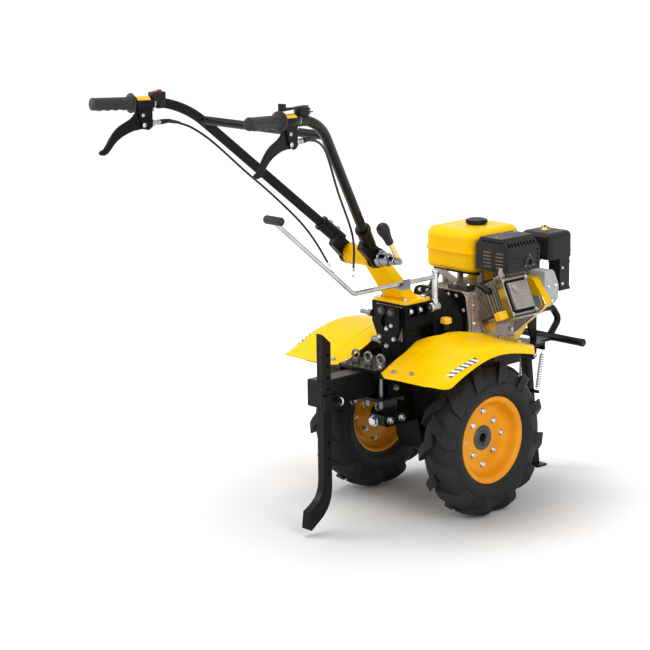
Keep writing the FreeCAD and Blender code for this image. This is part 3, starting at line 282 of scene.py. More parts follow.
def finish(name, colour, patch, patch_mm, grain_mm, grain_depth, rough, rough_spread, metallic=0.0,
           specular=0.5, speck=0.0):
    """A material: a base colour drifting to a second one in patches, with a fine grain.

    patch_mm and grain_mm are the sizes of the drift and of the grain; grain_depth is in millimetres.
    """
    material = bpy.data.materials.new(name)
    material.use_nodes = True
    tree = material.node_tree
    tree.nodes.clear()
    where = node(tree, "ShaderNodeTexCoord").outputs["Object"]
    drift = node(tree, "ShaderNodeTexNoise", {"Vector": where, "Scale": 1000 / patch_mm, "Detail": 4.0,
                                              "Roughness": 0.6}).outputs["Fac"]
    grain = node(tree, "ShaderNodeTexNoise", {"Vector": where, "Scale": 1000 / grain_mm, "Detail": 3.0,
                                              "Roughness": 0.7}).outputs["Fac"]
    spread = node(tree, "ShaderNodeMapRange", {"Value": drift, "From Min": 0.35, "From Max": 0.68})
    base = node(tree, "ShaderNodeMix", {"Factor": spread.outputs["Result"], "A": linear(colour),
                                        "B": linear(patch)}, data_type="RGBA")
    tone = base.outputs["Result"]
    if speck:
        fleck = node(tree, "ShaderNodeMapRange", {"Value": grain, "From Min": 0.3, "From Max": 0.7,
                                                  "To Min": 1 - speck, "To Max": 1 + speck})
        tone = node(tree, "ShaderNodeHueSaturation",
                    {"Color": tone, "Value": fleck.outputs["Result"]}).outputs["Color"]
    sheen = node(tree, "ShaderNodeMapRange", {"Value": drift, "From Min": 0.3, "From Max": 0.7,
                                              "To Min": rough - rough_spread, "To Max": rough + rough_spread})
    bump = node(tree, "ShaderNodeBump", {"Height": grain, "Distance": grain_depth / 1000, "Strength": 0.8})
    shader = node(tree, "ShaderNodeBsdfPrincipled",
                  {"Base Color": tone, "Roughness": sheen.outputs["Result"], "Normal": bump.outputs["Normal"],
                   "Metallic": metallic, "Specular IOR Level": specular})
    node(tree, "ShaderNodeOutputMaterial", {"Surface": shader.outputs["BSDF"]})
    return material


FINISHES = {}


def make_finishes(colours):
    """Every material, from what the real one is.

    Each row is its colour and the colour that it drifts to, the drift's size, the grain's size and depth in
    millimetres, then the roughness and its spread. A grain that is finer than about 1 mm on the real surface is
    drawn 0.8 to 2 mm coarse, because it wouldn't show otherwise.
    """
    rows = {
        # polyester powder coat: glossy, with a faint orange peel 3 mm across
        "yellow_powder_coat": (colours.yellow, "FFC400", 190, 3.2, 0.03, 0.3, 0.04, {"specular": 0.09}),
        # stove enamel over pressed wheels: a deeper yellow, a little duller
        "wheel_enamel": (colours.rim_yellow, "E8950F", 90, 2.6, 0.03, 0.34, 0.05, {"specular": 0.16}),
        # satin black chassis enamel, slightly cloudy
        "black_chassis_enamel": (colours.black, "141415", 70, 1.8, 0.03, 0.3, 0.06, {"specular": 0.12}),
        # sand-cast iron painted black: the sand's 2 mm grain still shows; the same black stands in as painted shade on
        # the axle's ends deep in the hubs and on the starter's vents
        "painted_cast_iron": ("070708", "0E0E0F", 45, 2.2, 0.16, 0.38, 0.07, {"specular": 0.08}),
        # die-cast aluminium: warm grey and dull, with a blasted grain that is drawn coarse
        "die_cast_aluminium": ("A69D94", "8B8178", 40, 1.6, 0.12, 0.5, 0.08, {"metallic": 0.35, "speck": 0.05}),
        # pressed aluminium sheet: cooler, brighter and smoother than the castings
        "pressed_aluminium": ("BFC1C4", "A9ACB0", 60, 1.4, 0.04, 0.4, 0.07, {"metallic": 0.5}),
        # silver enamel over a pressed cover: an even pale grey with soft gloss
        "silver_enamel": ("B9BBBE", "AEB0B3", 60, 1.4, 0.03, 0.42, 0.05, {"metallic": 0.1, "specular": 0.3}),
        # bright zinc plate on turned steel: small sharp highlights
        "bright_zinc_plate": ("BEC0C4", "A6A8AD", 45, 0.9, 0.004, 0.24, 0.04, {"metallic": 0.95}),
        # yellow passivated zinc on fasteners and levers: a warm straw tint
        "yellow_zinc_plate": ("E2C777", "D6B96B", 40, 0.9, 0.004, 0.28, 0.04, {"metallic": 0.9}),
        # hard chrome on the turned clamp nut: sharper than zinc; its colour is drawn darker than chrome's own, as
        # painted reflection of dark surroundings
        "hard_chrome": ("84898F", "767B82", 60, 1.0, 0.002, 0.12, 0.02, {"metallic": 1.0}),
        # steel with a phosphate coat: dark grey and nearly matt
        "phosphated_steel": ("4A4D51", "3A3D40", 45, 1.2, 0.04, 0.45, 0.06, {"metallic": 0.5}),
        # zinc plate dulled by handling: grey with a soft shine
        "dull_zinc_plate": ("7E8084", "6A6C70", 45, 1.0, 0.02, 0.42, 0.06, {"metallic": 0.8}),
        # drawn spring steel: plain grey, with a line of light on each coil
        "spring_steel": ("A2A5AA", "8E9196", 20, 0.8, 0.01, 0.3, 0.05, {"metallic": 0.9}),
        # exhaust steel browned by heat: blotchy and rough; the cylinder's core between the fins takes it too, as
        # painted shade in the grooves
        "heat_browned_steel": ("5A4E45", "3A322C", 30, 1.5, 0.08, 0.55, 0.08, {"metallic": 0.6}),
        # glass-filled nylon: black, with a fine moulded grain
        "moulded_black_nylon": ("1B1B1D", "222224", 60, 1.2, 0.04, 0.4, 0.06, {"specular": 0.18}),
        # tyre rubber: matt, a little grey on its faces
        "tyre_rubber": ("1F1F20", "252526", 55, 1.7, 0.1, 0.6, 0.07, {"specular": 0.18}),
        # handgrip rubber: softer grey
        "grip_rubber": ("2E2E30", "262628", 35, 1.1, 0.06, 0.5, 0.06, {"specular": 0.25}),
        # extruded vinyl cable sleeve: smooth black with a soft line of light
        "vinyl_sleeve": ("121213", "1A1A1B", 20, 0.8, 0.02, 0.36, 0.05, {"specular": 0.2}),
        # moulded nylon caps: an even, slightly waxy yellow
        "yellow_nylon": ("FFC81E", "F5B90F", 20, 1.0, 0.05, 0.42, 0.05, {}),
        # moulded rocker: an even, slightly waxy red
        "red_nylon": ("C4242E", "A81D26", 15, 0.8, 0.04, 0.4, 0.05, {}),
        # vinyl film: flat and even, in yellow for the blank labels, black and white for the fenders' bars
        "yellow_vinyl_film": ("F2C230", "EBBB2A", 25, 1.0, 0.01, 0.4, 0.04, {}),
        "black_vinyl_film": ("26261E", "2C2C24", 25, 1.0, 0.01, 0.4, 0.04, {}),
        "white_vinyl_film": ("F2F2EE", "E9E9E4", 30, 1.0, 0.01, 0.4, 0.04, {}),
    }
    for name, (*row, more) in rows.items():
        FINISHES[name] = finish(name, *row, **more)


# the record's material slots, with the finishes that stand for each
SLOT_FINISHES = {
    "yellow_paint": "yellow_powder_coat",
    "rim_paint": "wheel_enamel",
    "black_paint": "black_chassis_enamel painted_cast_iron",
    "cast_aluminium": "die_cast_aluminium",
    "bright_aluminium": "pressed_aluminium silver_enamel",
    "bright_steel": "bright_zinc_plate hard_chrome spring_steel yellow_zinc_plate dull_zinc_plate",
    "dark_steel": "heat_browned_steel phosphated_steel",
    "black_plastic": "moulded_black_nylon",
    "tyre": "tyre_rubber",
    "grip_rubber": "grip_rubber",
    "cable_sleeve": "vinyl_sleeve",
    "yellow_plastic": "yellow_nylon",
}
SLOT_OF = {look: slot for slot, looks in SLOT_FINISHES.items() for look in looks.split()}

# the CAD nodes that keep their shape, with their finish
NODE_FINISH = {
    "yellow_powder_coat": "control_column fuel_tank fender_right fender_left fan_shroud recoil_starter",
    "wheel_enamel": "rim_right rim_left",
    "black_chassis_enamel": "handlebar_sockets handlebar_tube_right handlebar_tube_left handlebar_brace "
                            "front_bracket front_crossbar front_hoop stand_leg "
                            "fender_struts hitch_bracket drawbar stake_clamp engine_bed",
    # the axle shaft is drawn in this black as painted shade deep in the hubs' sockets
    "painted_cast_iron": "axle_shaft drive_case gearbox gearbox_rear_cover clutch_housing",
    "die_cast_aluminium": "crankcase carburettor tank_mounts",
    "silver_enamel": "carburettor_cover",
    "bright_zinc_plate": "gear_lever",
    "dull_zinc_plate": "lever_guide hitch_pins",
    "heat_browned_steel": "muffler",
    "moulded_black_nylon": "stop_switch throttle_control air_cleaner",
    "grip_rubber": "gear_lever_grip",
    "yellow_nylon": "oil_filler_cap",
}


# ---- mesh helpers ------------------------------------------------------------------------------------

def cuboid(bm, x, y, z, place=at):
    """A box from three (low, high) pairs in millimetres, in the directions that place works in."""
    corners = [bm.verts.new(place(x[i], y[j], z[k])) for i in (0, 1) for j in (0, 1) for k in (0, 1)]
    for loop in ((0, 1, 3, 2), (4, 6, 7, 5), (0, 4, 5, 1), (2, 3, 7, 6), (0, 2, 6, 4), (1, 5, 7, 3)):
        bm.faces.new([corners[i] for i in loop])


def prism(bm, outline, push):
    """A plate: an outline of places in metres, pushed along a vector in millimetres."""
    push = Vector(push) / 1000
    near = [bm.verts.new(p) for p in outline]
    far = [bm.verts.new(p + push) for p in outline]
    bm.faces.new(near)
    bm.faces.new(list(reversed(far)))
    for i, vertex in enumerate(near):
        j = (i + 1) % len(near)
        bm.faces.new([near[j], vertex, far[i], far[j]])


def across(way):
    """Two unit vectors square to a direction."""
    way = Vector(way).normalized()
    side = way.cross(Vector((0, 0, 1)) if abs(way.z) < 0.9 else Vector((1, 0, 0))).normalized()
    return side, side.cross(way).normalized()


def ring_of(bm, middle, side, other, radius, sides):
    """A ring of vertices about a place in metres; the radius is in millimetres."""
    turns = (math.tau * step / sides for step in range(sides))
    return [bm.verts.new(middle + (side * math.cos(turn) + other * math.sin(turn)) * radius / 1000)
            for turn in turns]


def skinned(bm, rings, joined=False):
    """Faces from each ring to the next, with flat ends, or joined from the last ring to the first."""
    sides = len(rings[0])
    for ring, following in zip(rings, rings[1:] + rings[:1] if joined else rings[1:]):
        for i in range(sides):
            j = (i + 1) % sides
            bm.faces.new([ring[i], ring[j], following[j], following[i]])
    if not joined:
        bm.faces.new(list(reversed(rings[0])))
        bm.faces.new(rings[-1])


def tube(bm, path, radius, sides=12):
    """A round bar along places in metres; the radius is in millimetres, or one for each place."""
    radii = radius if isinstance(radius, (list, tuple)) else [radius] * len(path)
    side, rings = None, []
    for index, place in enumerate(path):
        before, after = path[max(index - 1, 0)], path[min(index + 1, len(path) - 1)]
        way = (after - before).normalized()
        side = across(way)[0] if side is None else (side - way * side.dot(way)).normalized()
        rings.append(ring_of(bm, place, side, way.cross(side), radii[index], sides))
    skinned(bm, rings)


def turned(bm, foot, way, profile, sides=32, joined=False):
    """A turned shape: (along, radius) pairs in millimetres from a place in metres, with flat ends."""
    way = Vector(way).normalized()
    skinned(bm, [ring_of(bm, foot + way * along / 1000, *across(way), radius, sides)
                 for along, radius in profile], joined)


def turned_ring(bm, foot, way, profile, sides=48):
    """A turned ring: the pairs go round its section and back to the first."""
    turned(bm, foot, way, profile, sides, joined=True)


def smoothed(mesh, sharp=32):
    """Smooth faces with sharp edges kept."""
    bm = bmesh.new()
    bm.from_mesh(mesh)
    for face in bm.faces:
        face.smooth = True
    for edge in bm.edges:
        edge.smooth = edge.calc_face_angle(0) < math.radians(sharp)
    bm.to_mesh(mesh)
    bm.free()


def piece(name, bm, look, body, bevel=0.0, sharp=32):
    """Finishes a mesh as a named piece that rides on a body."""
    bmesh.ops.remove_doubles(bm, verts=bm.verts, dist=1e-6)
    bmesh.ops.recalc_face_normals(bm, faces=bm.faces)
    mesh = bpy.data.meshes.new(name)
    bm.to_mesh(mesh)
    bm.free()
    return shown(name, mesh, look, body, bevel, sharp)


def shown(name, mesh, look, body, bevel=0.0, sharp=32):
    """Shows a mesh as a piece: smoothed, bevelled, with its finish, riding on its body."""
    smoothed(mesh, sharp)
    made = bpy.data.objects.new(name, mesh)
    bpy.context.scene.collection.objects.link(made)
    mesh.materials.clear()
    mesh.materials.append(FINISHES[look])
    if bevel:
        edge = made.modifiers.new("rounded edges", "BEVEL")
        edge.width, edge.segments, edge.limit_method = bevel / 1000, 2, "ANGLE"
        edge.angle_limit = math.radians(sharp)
    if body:
        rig.ride(made, body)
    if look in SLOT_OF:
        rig.slot(made, SLOT_OF[look])
    return made


def single(name, look, shape, *values, bevel=0.0):
    """A chassis piece of one shape: cuboid, prism, tube, turned or turned_ring, with its values."""
    bm = bmesh.new()
    shape(bm, *values)
    return piece(name, bm, look, "chassis", bevel)


def template(name, bm):
    """A mesh object that a node tree copies; it is removed once its copies are made."""
    bmesh.ops.recalc_face_normals(bm, faces=bm.faces)
    mesh = bpy.data.meshes.new(name)
    bm.to_mesh(mesh)
    bm.free()
    smoothed(mesh)
    made = bpy.data.objects.new(name, mesh)
    bpy.context.scene.collection.objects.link(made)
    return made


# ---- node trees that make what repeats ---------------------------------------------------------------

def new_tree(name, inputs):
    """A node tree with its named inputs and one geometry output, and the sockets that hand the inputs in."""
    tree = bpy.data.node_groups.new(name, "GeometryNodeTree")
    for label, kind in inputs:
        tree.interface.new_socket(label, in_out="INPUT", socket_type="NodeSocket" + kind)
    tree.interface.new_socket("Geometry", in_out="OUTPUT", socket_type="NodeSocketGeometry")
    return tree, node(tree, "NodeGroupInput").outputs


def end_tree(tree, geometry, look):
    """Makes the copies real, gives them their material and hands them out."""
    real = node(tree, "GeometryNodeRealizeInstances", {"Geometry": geometry})
    looked = node(tree, "GeometryNodeSetMaterial", {"Geometry": real.outputs["Geometry"], "Material": look})
    node(tree, "NodeGroupOutput", {"Geometry": looked.outputs["Geometry"]})
    return tree


def series_tree():
    """Copies in a row: each one is a step further along and a turn further round."""
    tree, given = new_tree("copies in a row", [
        ("Geometry", "Geometry"), ("Template", "Object"), ("Count", "Int"), ("Start", "Vector"),
        ("Step", "Vector"), ("First turn", "Vector"), ("Turn", "Vector"), ("Finish", "Material")])
    index = node(tree, "GeometryNodeInputIndex").outputs["Index"]
    places = []
    for first, step in (("Start", "Step"), ("First turn", "Turn")):
        scaled = node(tree, "ShaderNodeVectorMath", {0: given[step], "Scale": index}, operation="SCALE")
        places.append(node(tree, "ShaderNodeVectorMath", {0: given[first], 1: scaled.outputs[0]}).outputs[0])
    points = node(tree, "GeometryNodePoints", {"Count": given["Count"], "Position": places[0]})
    shape = node(tree, "GeometryNodeObjectInfo", {"Object": given["Template"]})
    copies = node(tree, "GeometryNodeInstanceOnPoints", {
        "Points": points.outputs[0], "Instance": shape.outputs["Geometry"], "Rotation": places[1]})
    return end_tree(tree, copies.outputs["Instances"], given["Finish"])


def spots_tree():
    """Copies on points that carry the direction each one faces, its turn and its size."""
    tree, given = new_tree("copies on spots", [
        ("Geometry", "Geometry"), ("Template", "Object"), ("Finish", "Material")])
    facing = node(tree, "GeometryNodeInputNamedAttribute", {"Name": "facing"}, data_type="FLOAT_VECTOR")
    size = node(tree, "GeometryNodeInputNamedAttribute", {"Name": "size"}, data_type="FLOAT")
    turn = node(tree, "FunctionNodeAlignRotationToVector", {"Vector": facing.outputs[0]}, axis="Z")
    shape = node(tree, "GeometryNodeObjectInfo", {"Object": given["Template"]})
    copies = node(tree, "GeometryNodeInstanceOnPoints", {
        "Points": given["Geometry"], "Instance": shape.outputs["Geometry"],
        "Rotation": turn.outputs["Rotation"], "Scale": size.outputs[0]})
    return end_tree(tree, copies.outputs["Instances"], given["Finish"])


TREES = {}


def grown(tree, look, seed=None, **inputs):
    """The plain mesh that a node tree makes from its inputs."""
    host = bpy.data.objects.new("grown", seed or bpy.data.meshes.new("grown"))
    bpy.context.scene.collection.objects.link(host)
    maker = host.modifiers.new("copies", "NODES")
    maker.node_group = TREES[tree]
    inputs["Finish"] = FINISHES[look]
    for socket in TREES[tree].interface.items_tree:
        if socket.in_out == "INPUT" and socket.name in inputs:
            maker[socket.identifier] = inputs[socket.name]
    depsgraph = bpy.context.evaluated_depsgraph_get()
    mesh = bpy.data.meshes.new_from_object(host.evaluated_get(depsgraph), depsgraph=depsgraph)
    bpy.data.objects.remove(host)
    return mesh


def series(name, copied, look, body, count, start, step=(0, 0, 0), first_turn=(0, 0, 0), turn=(0, 0, 0)):
    """A piece made of a template's copies in a row; start and step are in metres, turns in radians."""
    mesh = grown("series", look, Template=copied, Count=count, Start=tuple(start), Step=tuple(step),
                 **{"First turn": tuple(first_turn), "Turn": tuple(turn)})
    bpy.data.objects.remove(copied)
    return shown(name, mesh, look, body)


def fastened(name, made_by, look, body, spots):
    """A piece made of one fastener copied to (place in mm, direction, size) spots."""
    seed = bpy.data.meshes.new("spots")
    places, ways, sizes = zip(*spots)
    seed.from_pydata([mm(place) for place in places], [], [])
    seed.attributes.new("facing", "FLOAT_VECTOR", "POINT").data.foreach_set(
        "vector", [part for way in ways for part in Vector(way).normalized()])
    seed.attributes.new("size", "FLOAT", "POINT").data.foreach_set("value", sizes)
    copied = made_by()
    mesh = grown("spots", look, seed, Template=copied)
    bpy.data.objects.remove(copied)
    return shown(name, mesh, look, body)


def hexagon_bolt():
    """A 13 mm hexagon head on its washer, facing +Z, standing on the origin."""
    bm = bmesh.new()
    for profile, sides in (([(-0.6, 8.6), (1.2, 8.6), (1.6, 8.2)], 24), ([(1.6, 7.5), (5.8, 7.5), (6.9, 6.2)], 6)):
        turned(bm, Vector(), (0, 0, 1), profile, sides)
    return template("hexagon_bolt", bm)


def nut_and_thread():
    """A hexagon nut on its washer with the bolt's end standing out of it."""
    bm = bmesh.new()
    turned(bm, Vector(), (0, 0, 1), [(-0.6, 8.6), (1.4, 8.6)], 24)
    turned(bm, Vector(), (0, 0, 1), [(1.4, 7.2), (2, 7.5), (7.4, 7.5), (8, 6.6)], 6)
    turned(bm, Vector(), (0, 0, 1), [(7.5, 4), (11, 4), (12, 3.3)], 16)
    return template("nut_and_thread", bm)


def socket_screw():
    """A round-headed screw with a cross recess, 10 mm across."""
    bm = bmesh.new()
    turned(bm, Vector(), (0, 0, 1), [(-0.5, 5), (1.4, 5), (2.8, 4.1), (3.3, 2.4), (2.2, 1.6)], 20)
    return template("socket_screw", bm)


def looked(name, look):
    """Gives a CAD node its material."""
    slots = NODES[name].material_slots
    if not slots:
        NODES[name].data.materials.append(None)
    for slot in NODES[name].material_slots:
        slot.link = "OBJECT"
        slot.material = FINISHES[look]


def skin(name):
    """A search tree over a CAD node's faces."""
    mesh = NODES[name].data
    return BVHTree.FromPolygons([v.co.copy() for v in mesh.vertices], [tuple(p.vertices) for p in mesh.polygons])


def dropped(tree, x, y, lift=0.0):
    """The place on a skin straight under a point, in metres, raised by the lift, and the skin's direction."""
    place, normal, _, _ = tree.ray_cast(at(x, y, DECK + 200), Vector((0, 0, -1)))
    if place is None:
        raise RuntimeError(f"nothing lies under {x}, {y}")
    if normal.z < 0:
        normal = -normal
    return place + normal * lift / 1000, normal


# ---- what a user may change --------------------------------------------------------------------------

class TillerWheels(bpy.types.PropertyGroup):
    """Sizes of the lugs and of the wheel bolts"""
    lugs: IntProperty(name="Lugs", description="Lugs on each side of a tyre", default=12, min=6, max=24)
    lug_width: FloatProperty(name="Lug width", description="Width of a lug at its root", default=0.042,
                             min=0.01, max=0.06, unit="LENGTH")
    lug_sweep: FloatProperty(name="Lug sweep", description="How far a lug trails from middle to shoulder",
                             default=math.radians(17), min=0, max=0.7, subtype="ANGLE")
    bolt_size: FloatProperty(name="Bolt size", description="Size of the wheel bolts against an 8 mm one",
                             default=1.0, min=0.5, max=2, subtype="FACTOR")


class TillerEngine(bpy.types.PropertyGroup):
    """Counts of the engine's fins and louvres"""
    fins: IntProperty(name="Fins", description="Cooling fins on the barrel", default=8, min=3, max=14)
    slots: IntProperty(name="Slots", description="Louvres in each column of the muffler guard", default=5,
                       min=2, max=8)


class TillerColours(bpy.types.PropertyGroup):
    """Colours of the three enamels"""
    yellow: StringProperty(name="Body colour", description="sRGB hex colour of the painted covers",
                           default="FFCE00")
    rim_yellow: StringProperty(name="Wheel colour", description="sRGB hex colour of the wheel enamel",
                               default="F3A41F")
    black: StringProperty(name="Frame colour", description="sRGB hex colour of the frame's enamel",
                          default="0C0C0D")


class TillerStage(bpy.types.PropertyGroup):
    """Levels of the studio light"""
    key_power: FloatProperty(name="Main lamp", description="Power of the main lamp", default=158.0, min=0,
                             unit="POWER")
    fill_power: FloatProperty(name="Fill lamp", description="Power of the fill lamp", default=100.0, min=0,
                              unit="POWER")
    surround: FloatProperty(name="Surround", description="Strength of the light from all round", default=0.42,
                            min=0, max=2, subtype="FACTOR")


def group(name):
    """The scene's settings of one kind."""
    return getattr(bpy.context.scene, "tiller_" + name)


# ---- camera, finishes and cables ---------------------------------------------------------------------

class TILLER_OT_camera(bpy.types.Operator):
    """Set the camera a little above the machine, behind and to its right"""
    bl_idname = "tiller.camera"
    bl_label = "Camera"

    azimuth, elevation, roll = math.radians(45.9534), math.radians(12.4748), math.radians(-0.7462)
    target, distance = Vector((-186.925, -193.295, 484.493)), 6285.02     # in millimetres
    focal_length, sensor_width, far_limit = 130.1, 36.0, 200

    def execute(self, context):
        sa, ca = math.sin(self.azimuth), math.cos(self.azimuth)
        se, ce = math.sin(self.elevation), math.cos(self.elevation)
        back, right = Vector((sa * ce, -ca * ce, se)), Vector((ca, sa, 0))
        up = back.cross(right)
        sr, cr = math.sin(self.roll), math.cos(self.roll)
        axes = (right * cr + up * sr, up * cr - right * sr, back)
        camera = bpy.data.objects.new("camera", bpy.data.cameras.new("camera"))
        camera.data.lens, camera.data.sensor_width = self.focal_length, self.sensor_width
        camera.data.clip_end = self.far_limit
        place = mm(self.target + back * self.distance)
        camera.matrix_world = Matrix.Translation(place) @ Matrix(axes).transposed().to_4x4()
        context.scene.collection.objects.link(camera)
        context.scene.camera = camera
        return {"FINISHED"}


class TILLER_OT_finishes(bpy.types.Operator):
    """Make the materials and give the frame's own parts theirs"""
    bl_idname = "tiller.finishes"
    bl_label = "Finishes"

    def execute(self, context):
        make_finishes(group("colours"))
        TREES.update({"series": series_tree(), "spots": spots_tree()})
        for look, names in NODE_FINISH.items():
            for name in names.split():
                looked(name, look)
        return {"FINISHED"}


# the clutch cable's own points, in millimetres; the left cable is the right one's mirror image
CABLE_POINTS = ((253.4, -664, 1075.5), (243, -625, 1066), (227, -588, 1043), (205, -553, 1010),
                (160, -484, 929), (138, -450, 894), (99, -378, 813), (80, -347, 768), (60, -326, 721),
                (47, -316, 690))
CABLE_RADIUS = 3.0


class TILLER_OT_cables(bpy.types.Operator):
    """Hang the two clutch cables with their boots and end fittings"""
    bl_idname = "tiller.cables"
    bl_label = "Clutch cables"

    def execute(self, context):
        for side, name in ((1, "right"), (-1, "left")):
            self.hang(name, [at(side * x, y, z) for x, y, z in CABLE_POINTS])
        return {"FINISHED"}

    def hang(self, name, points):
        """One cable as a smooth line through its points' pull, with its boot and end fitting."""
        line = bpy.data.curves.new("clutch_cable_" + name, "CURVE")
        line.dimensions = "3D"
        spline = line.splines.new("NURBS")
        spline.points.add(len(points) - 1)
        for place, point in zip(spline.points, points):
            place.co = (*point, 1)
        spline.order_u, spline.use_endpoint_u, spline.resolution_u = 3, True, 16
        line.bevel_depth, line.bevel_resolution, line.use_fill_caps = CABLE_RADIUS / 1000, 4, True
        line.materials.append(FINISHES["vinyl_sleeve"])
        cable = bpy.data.objects.new("clutch_cable_" + name, line)
        bpy.context.scene.collection.objects.link(cable)
        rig.ride(cable, "handlebar")
        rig.replaces(cable, "clutch_cable_" + name)
        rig.slot(cable, SLOT_OF["vinyl_sleeve"])
        length = sum((b - a).length for a, b in self.runs(line))
        boot, fitting = self.boot(name, points), self.fitting(name, points)
        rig.cord(cable, exit=tuple(points[0]), length=length, diameter=2 * CABLE_RADIUS / 1000,
                far_end="fitting", stiffness="stiff", lay="hanging", with_pieces=[boot, fitting])

    def runs(self, line):
        """The short runs of the spline itself, for its length."""
        plain = line.copy()
        plain.bevel_depth = 0
        holder = bpy.data.objects.new("plain", plain)
        path = [v.co.copy() for v in bpy.data.meshes.new_from_object(holder).vertices]
        bpy.data.objects.remove(holder)
        return zip(path, path[1:])

    def boot(self, name, points):
        """The tapered rubber boot where a cable leaves its adjuster."""
        way = (points[1] - points[0]).normalized()
        bm = bmesh.new()
        turned(bm, points[0] - way * 0.002, way,
               [(0, 5.2), (3, 5.6), (6, 5.2), (9, 5.0), (20, 4.4), (32, 3.5), (34, 3.1)], 20)
        return piece("cable_boot_" + name, bm, "grip_rubber", "handlebar")

    def fitting(self, name, points):
        """The crimped ferrule, the bare wire and its nipple."""
        way = (points[-1] - points[-2]).normalized()
        bm = bmesh.new()
        turned(bm, points[-1] - way * 0.001, way,
               [(0, 3.4), (1, 3.8), (5, 3.8), (6, 3.4), (8, 3.4), (9, 3.8), (12, 3.8), (13, 3.0)], 20)
        turned(bm, points[-1] + way * 0.011, way, [(0, 1.2), (17, 1.2)], 10)
        turned(bm, points[-1] + way * 0.026, way, [(0, 2.6), (0.5, 3), (4.5, 3), (5, 2.6)], 16)
        fitting = piece("cable_end_" + name, bm, "bright_zinc_plate", "handlebar")
        if name == "right":
            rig.replaces(fitting, "clutch_cable_ends")
        return fitting


class TILLER_OT_stage(bpy.types.Operator):
    """Lay the pale floor and set the studio light"""
    bl_idname = "tiller.stage"
    bl_label = "Stage"

    floor_radius, floor_gap = 90, 0.0005          # metres; the gap keeps the tyres off the floor's own level
    # the floor's glow for the camera is lowest near the machine: painted shade there, fading to white beyond
    plain_radius, white_radius, glow = 0.25, 1.35, 0.74    # the floor's shade fades out between the two radii
    aim = (0, -150, 400)                          # the place that the lamps face

    def execute(self, context):
        stage = group("stage")
        self.floor(context)
        self.world(context, stage.surround)
        for name, place, size, power in (("main_lamp", (-900, -900, 5600), 3.4, stage.key_power),
                                         ("left_lamp", (-4200, -2600, 2600), 3.4, stage.fill_power),
                                         ("fill_lamp", (4200, -1500, 2600), 3.0, stage.fill_power)):
            self.lamp(context, name, at(*place), size, power)
        context.scene.view_settings.view_transform = "Standard"
        return {"FINISHED"}

    def looked_at(self, tree):
        """1 where the camera sees a surface, straight or in a reflection or through glass, and 0 elsewhere."""
        path = node(tree, "ShaderNodeLightPath").outputs
        seen = path["Is Camera Ray"]
        for kind in ("Is Glossy Ray", "Is Transmission Ray"):
            seen = node(tree, "ShaderNodeMath", {0: seen, 1: path[kind]}, operation="MAXIMUM").outputs[0]
        return seen

    def floor(self, context):
        """A round white paper floor whose glow for the camera rises away from the machine: painted shade near it,
        white beyond.
        """
        bm = bmesh.new()
        bmesh.ops.create_circle(bm, cap_ends=True, segments=96, radius=self.floor_radius)
        mesh = bpy.data.meshes.new("floor")
        bm.to_mesh(mesh)
        bm.free()
        floor = bpy.data.objects.new("floor", mesh)
        floor.location.z = -self.floor_gap
        context.scene.collection.objects.link(floor)
        material = bpy.data.materials.new("white_paper_floor")
        material.use_nodes = True
        tree = material.node_tree
        tree.nodes.clear()
        where = node(tree, "ShaderNodeTexCoord").outputs["Object"]
        away = node(tree, "ShaderNodeVectorMath", {0: where}, operation="LENGTH").outputs["Value"]
        rise = node(tree, "ShaderNodeMapRange", {
            "Value": away, "From Min": self.plain_radius, "From Max": self.white_radius, "To Min": 0.0,
            "To Max": self.glow}, interpolation_type="SMOOTHSTEP")
        level = node(tree, "ShaderNodeMath", {0: self.looked_at(tree), 1: rise.outputs["Result"]},
                     operation="MULTIPLY")
        paper = node(tree, "ShaderNodeBsdfDiffuse", {"Color": (0.8, 0.8, 0.8, 1)})
        glow = node(tree, "ShaderNodeEmission", {"Color": (1, 1, 1, 1), "Strength": level.outputs[0]})
        both = node(tree, "ShaderNodeAddShader", {0: paper.outputs[0], 1: glow.outputs[0]})
        node(tree, "ShaderNodeOutputMaterial", {"Surface": both.outputs[0]})
        mesh.materials.append(material)
        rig.stage(floor)

    def world(self, context, strength):
        """Even light from all round, and a white backdrop where it is looked at."""
        world = bpy.data.worlds.new("studio")
        context.scene.world = world
        world.use_nodes = True
        tree = world.node_tree
        tree.nodes.clear()
        level = node(tree, "ShaderNodeMapRange", {"Value": self.looked_at(tree), "To Min": strength,
                                                  "To Max": 1.0})
        light = node(tree, "ShaderNodeBackground", {"Color": (1, 1, 1, 1), "Strength": level.outputs[0]})
        node(tree, "ShaderNodeOutputWorld", {"Surface": light.outputs[0]})

    def lamp(self, context, name, place, size, power):
        """A round soft lamp that faces the machine."""
        light = bpy.data.lights.new(name, "AREA")
        light.shape, light.size, light.energy = "DISK", size, power
        lamp = bpy.data.objects.new(name, light)
        facing = (place - at(*self.aim)).to_track_quat("Z", "Y").to_matrix().to_4x4()
        lamp.matrix_world = Matrix.Translation(place) @ facing
        context.scene.collection.objects.link(lamp)


# ---- wheels ------------------------------------------------------------------------------------------

# (across from the wheel's middle, radius) pairs of the tyre's half section
CARCASS = [(33, 102.4), (35.4, 108), (36.8, 115.2), (38.6, 118.4), (42, 121), (46, 125.5), (48.8, 132), (50, 140),
           (50, 149.5), (49.2, 152.6), (47.2, 154.8), (46.2, 158), (45.2, 166), (42.6, 174.5), (38, 182),
           (30, 188.4), (20, 192), (6, 193)]
# a lug's (across from the wheel's middle, root radius, top radius), from the middle over the shoulder
LUG_SPINE = [(-8, 186, 205.4), (8, 186, 206.9), (24, 183, 205.4), (36, 176, 202.5), (44, 164, 198),
             (48.5, 156, 191.5), (50.6, 154, 182), (50.8, 153, 171), (50.2, 152, 160), (46.5, 152, 154)]
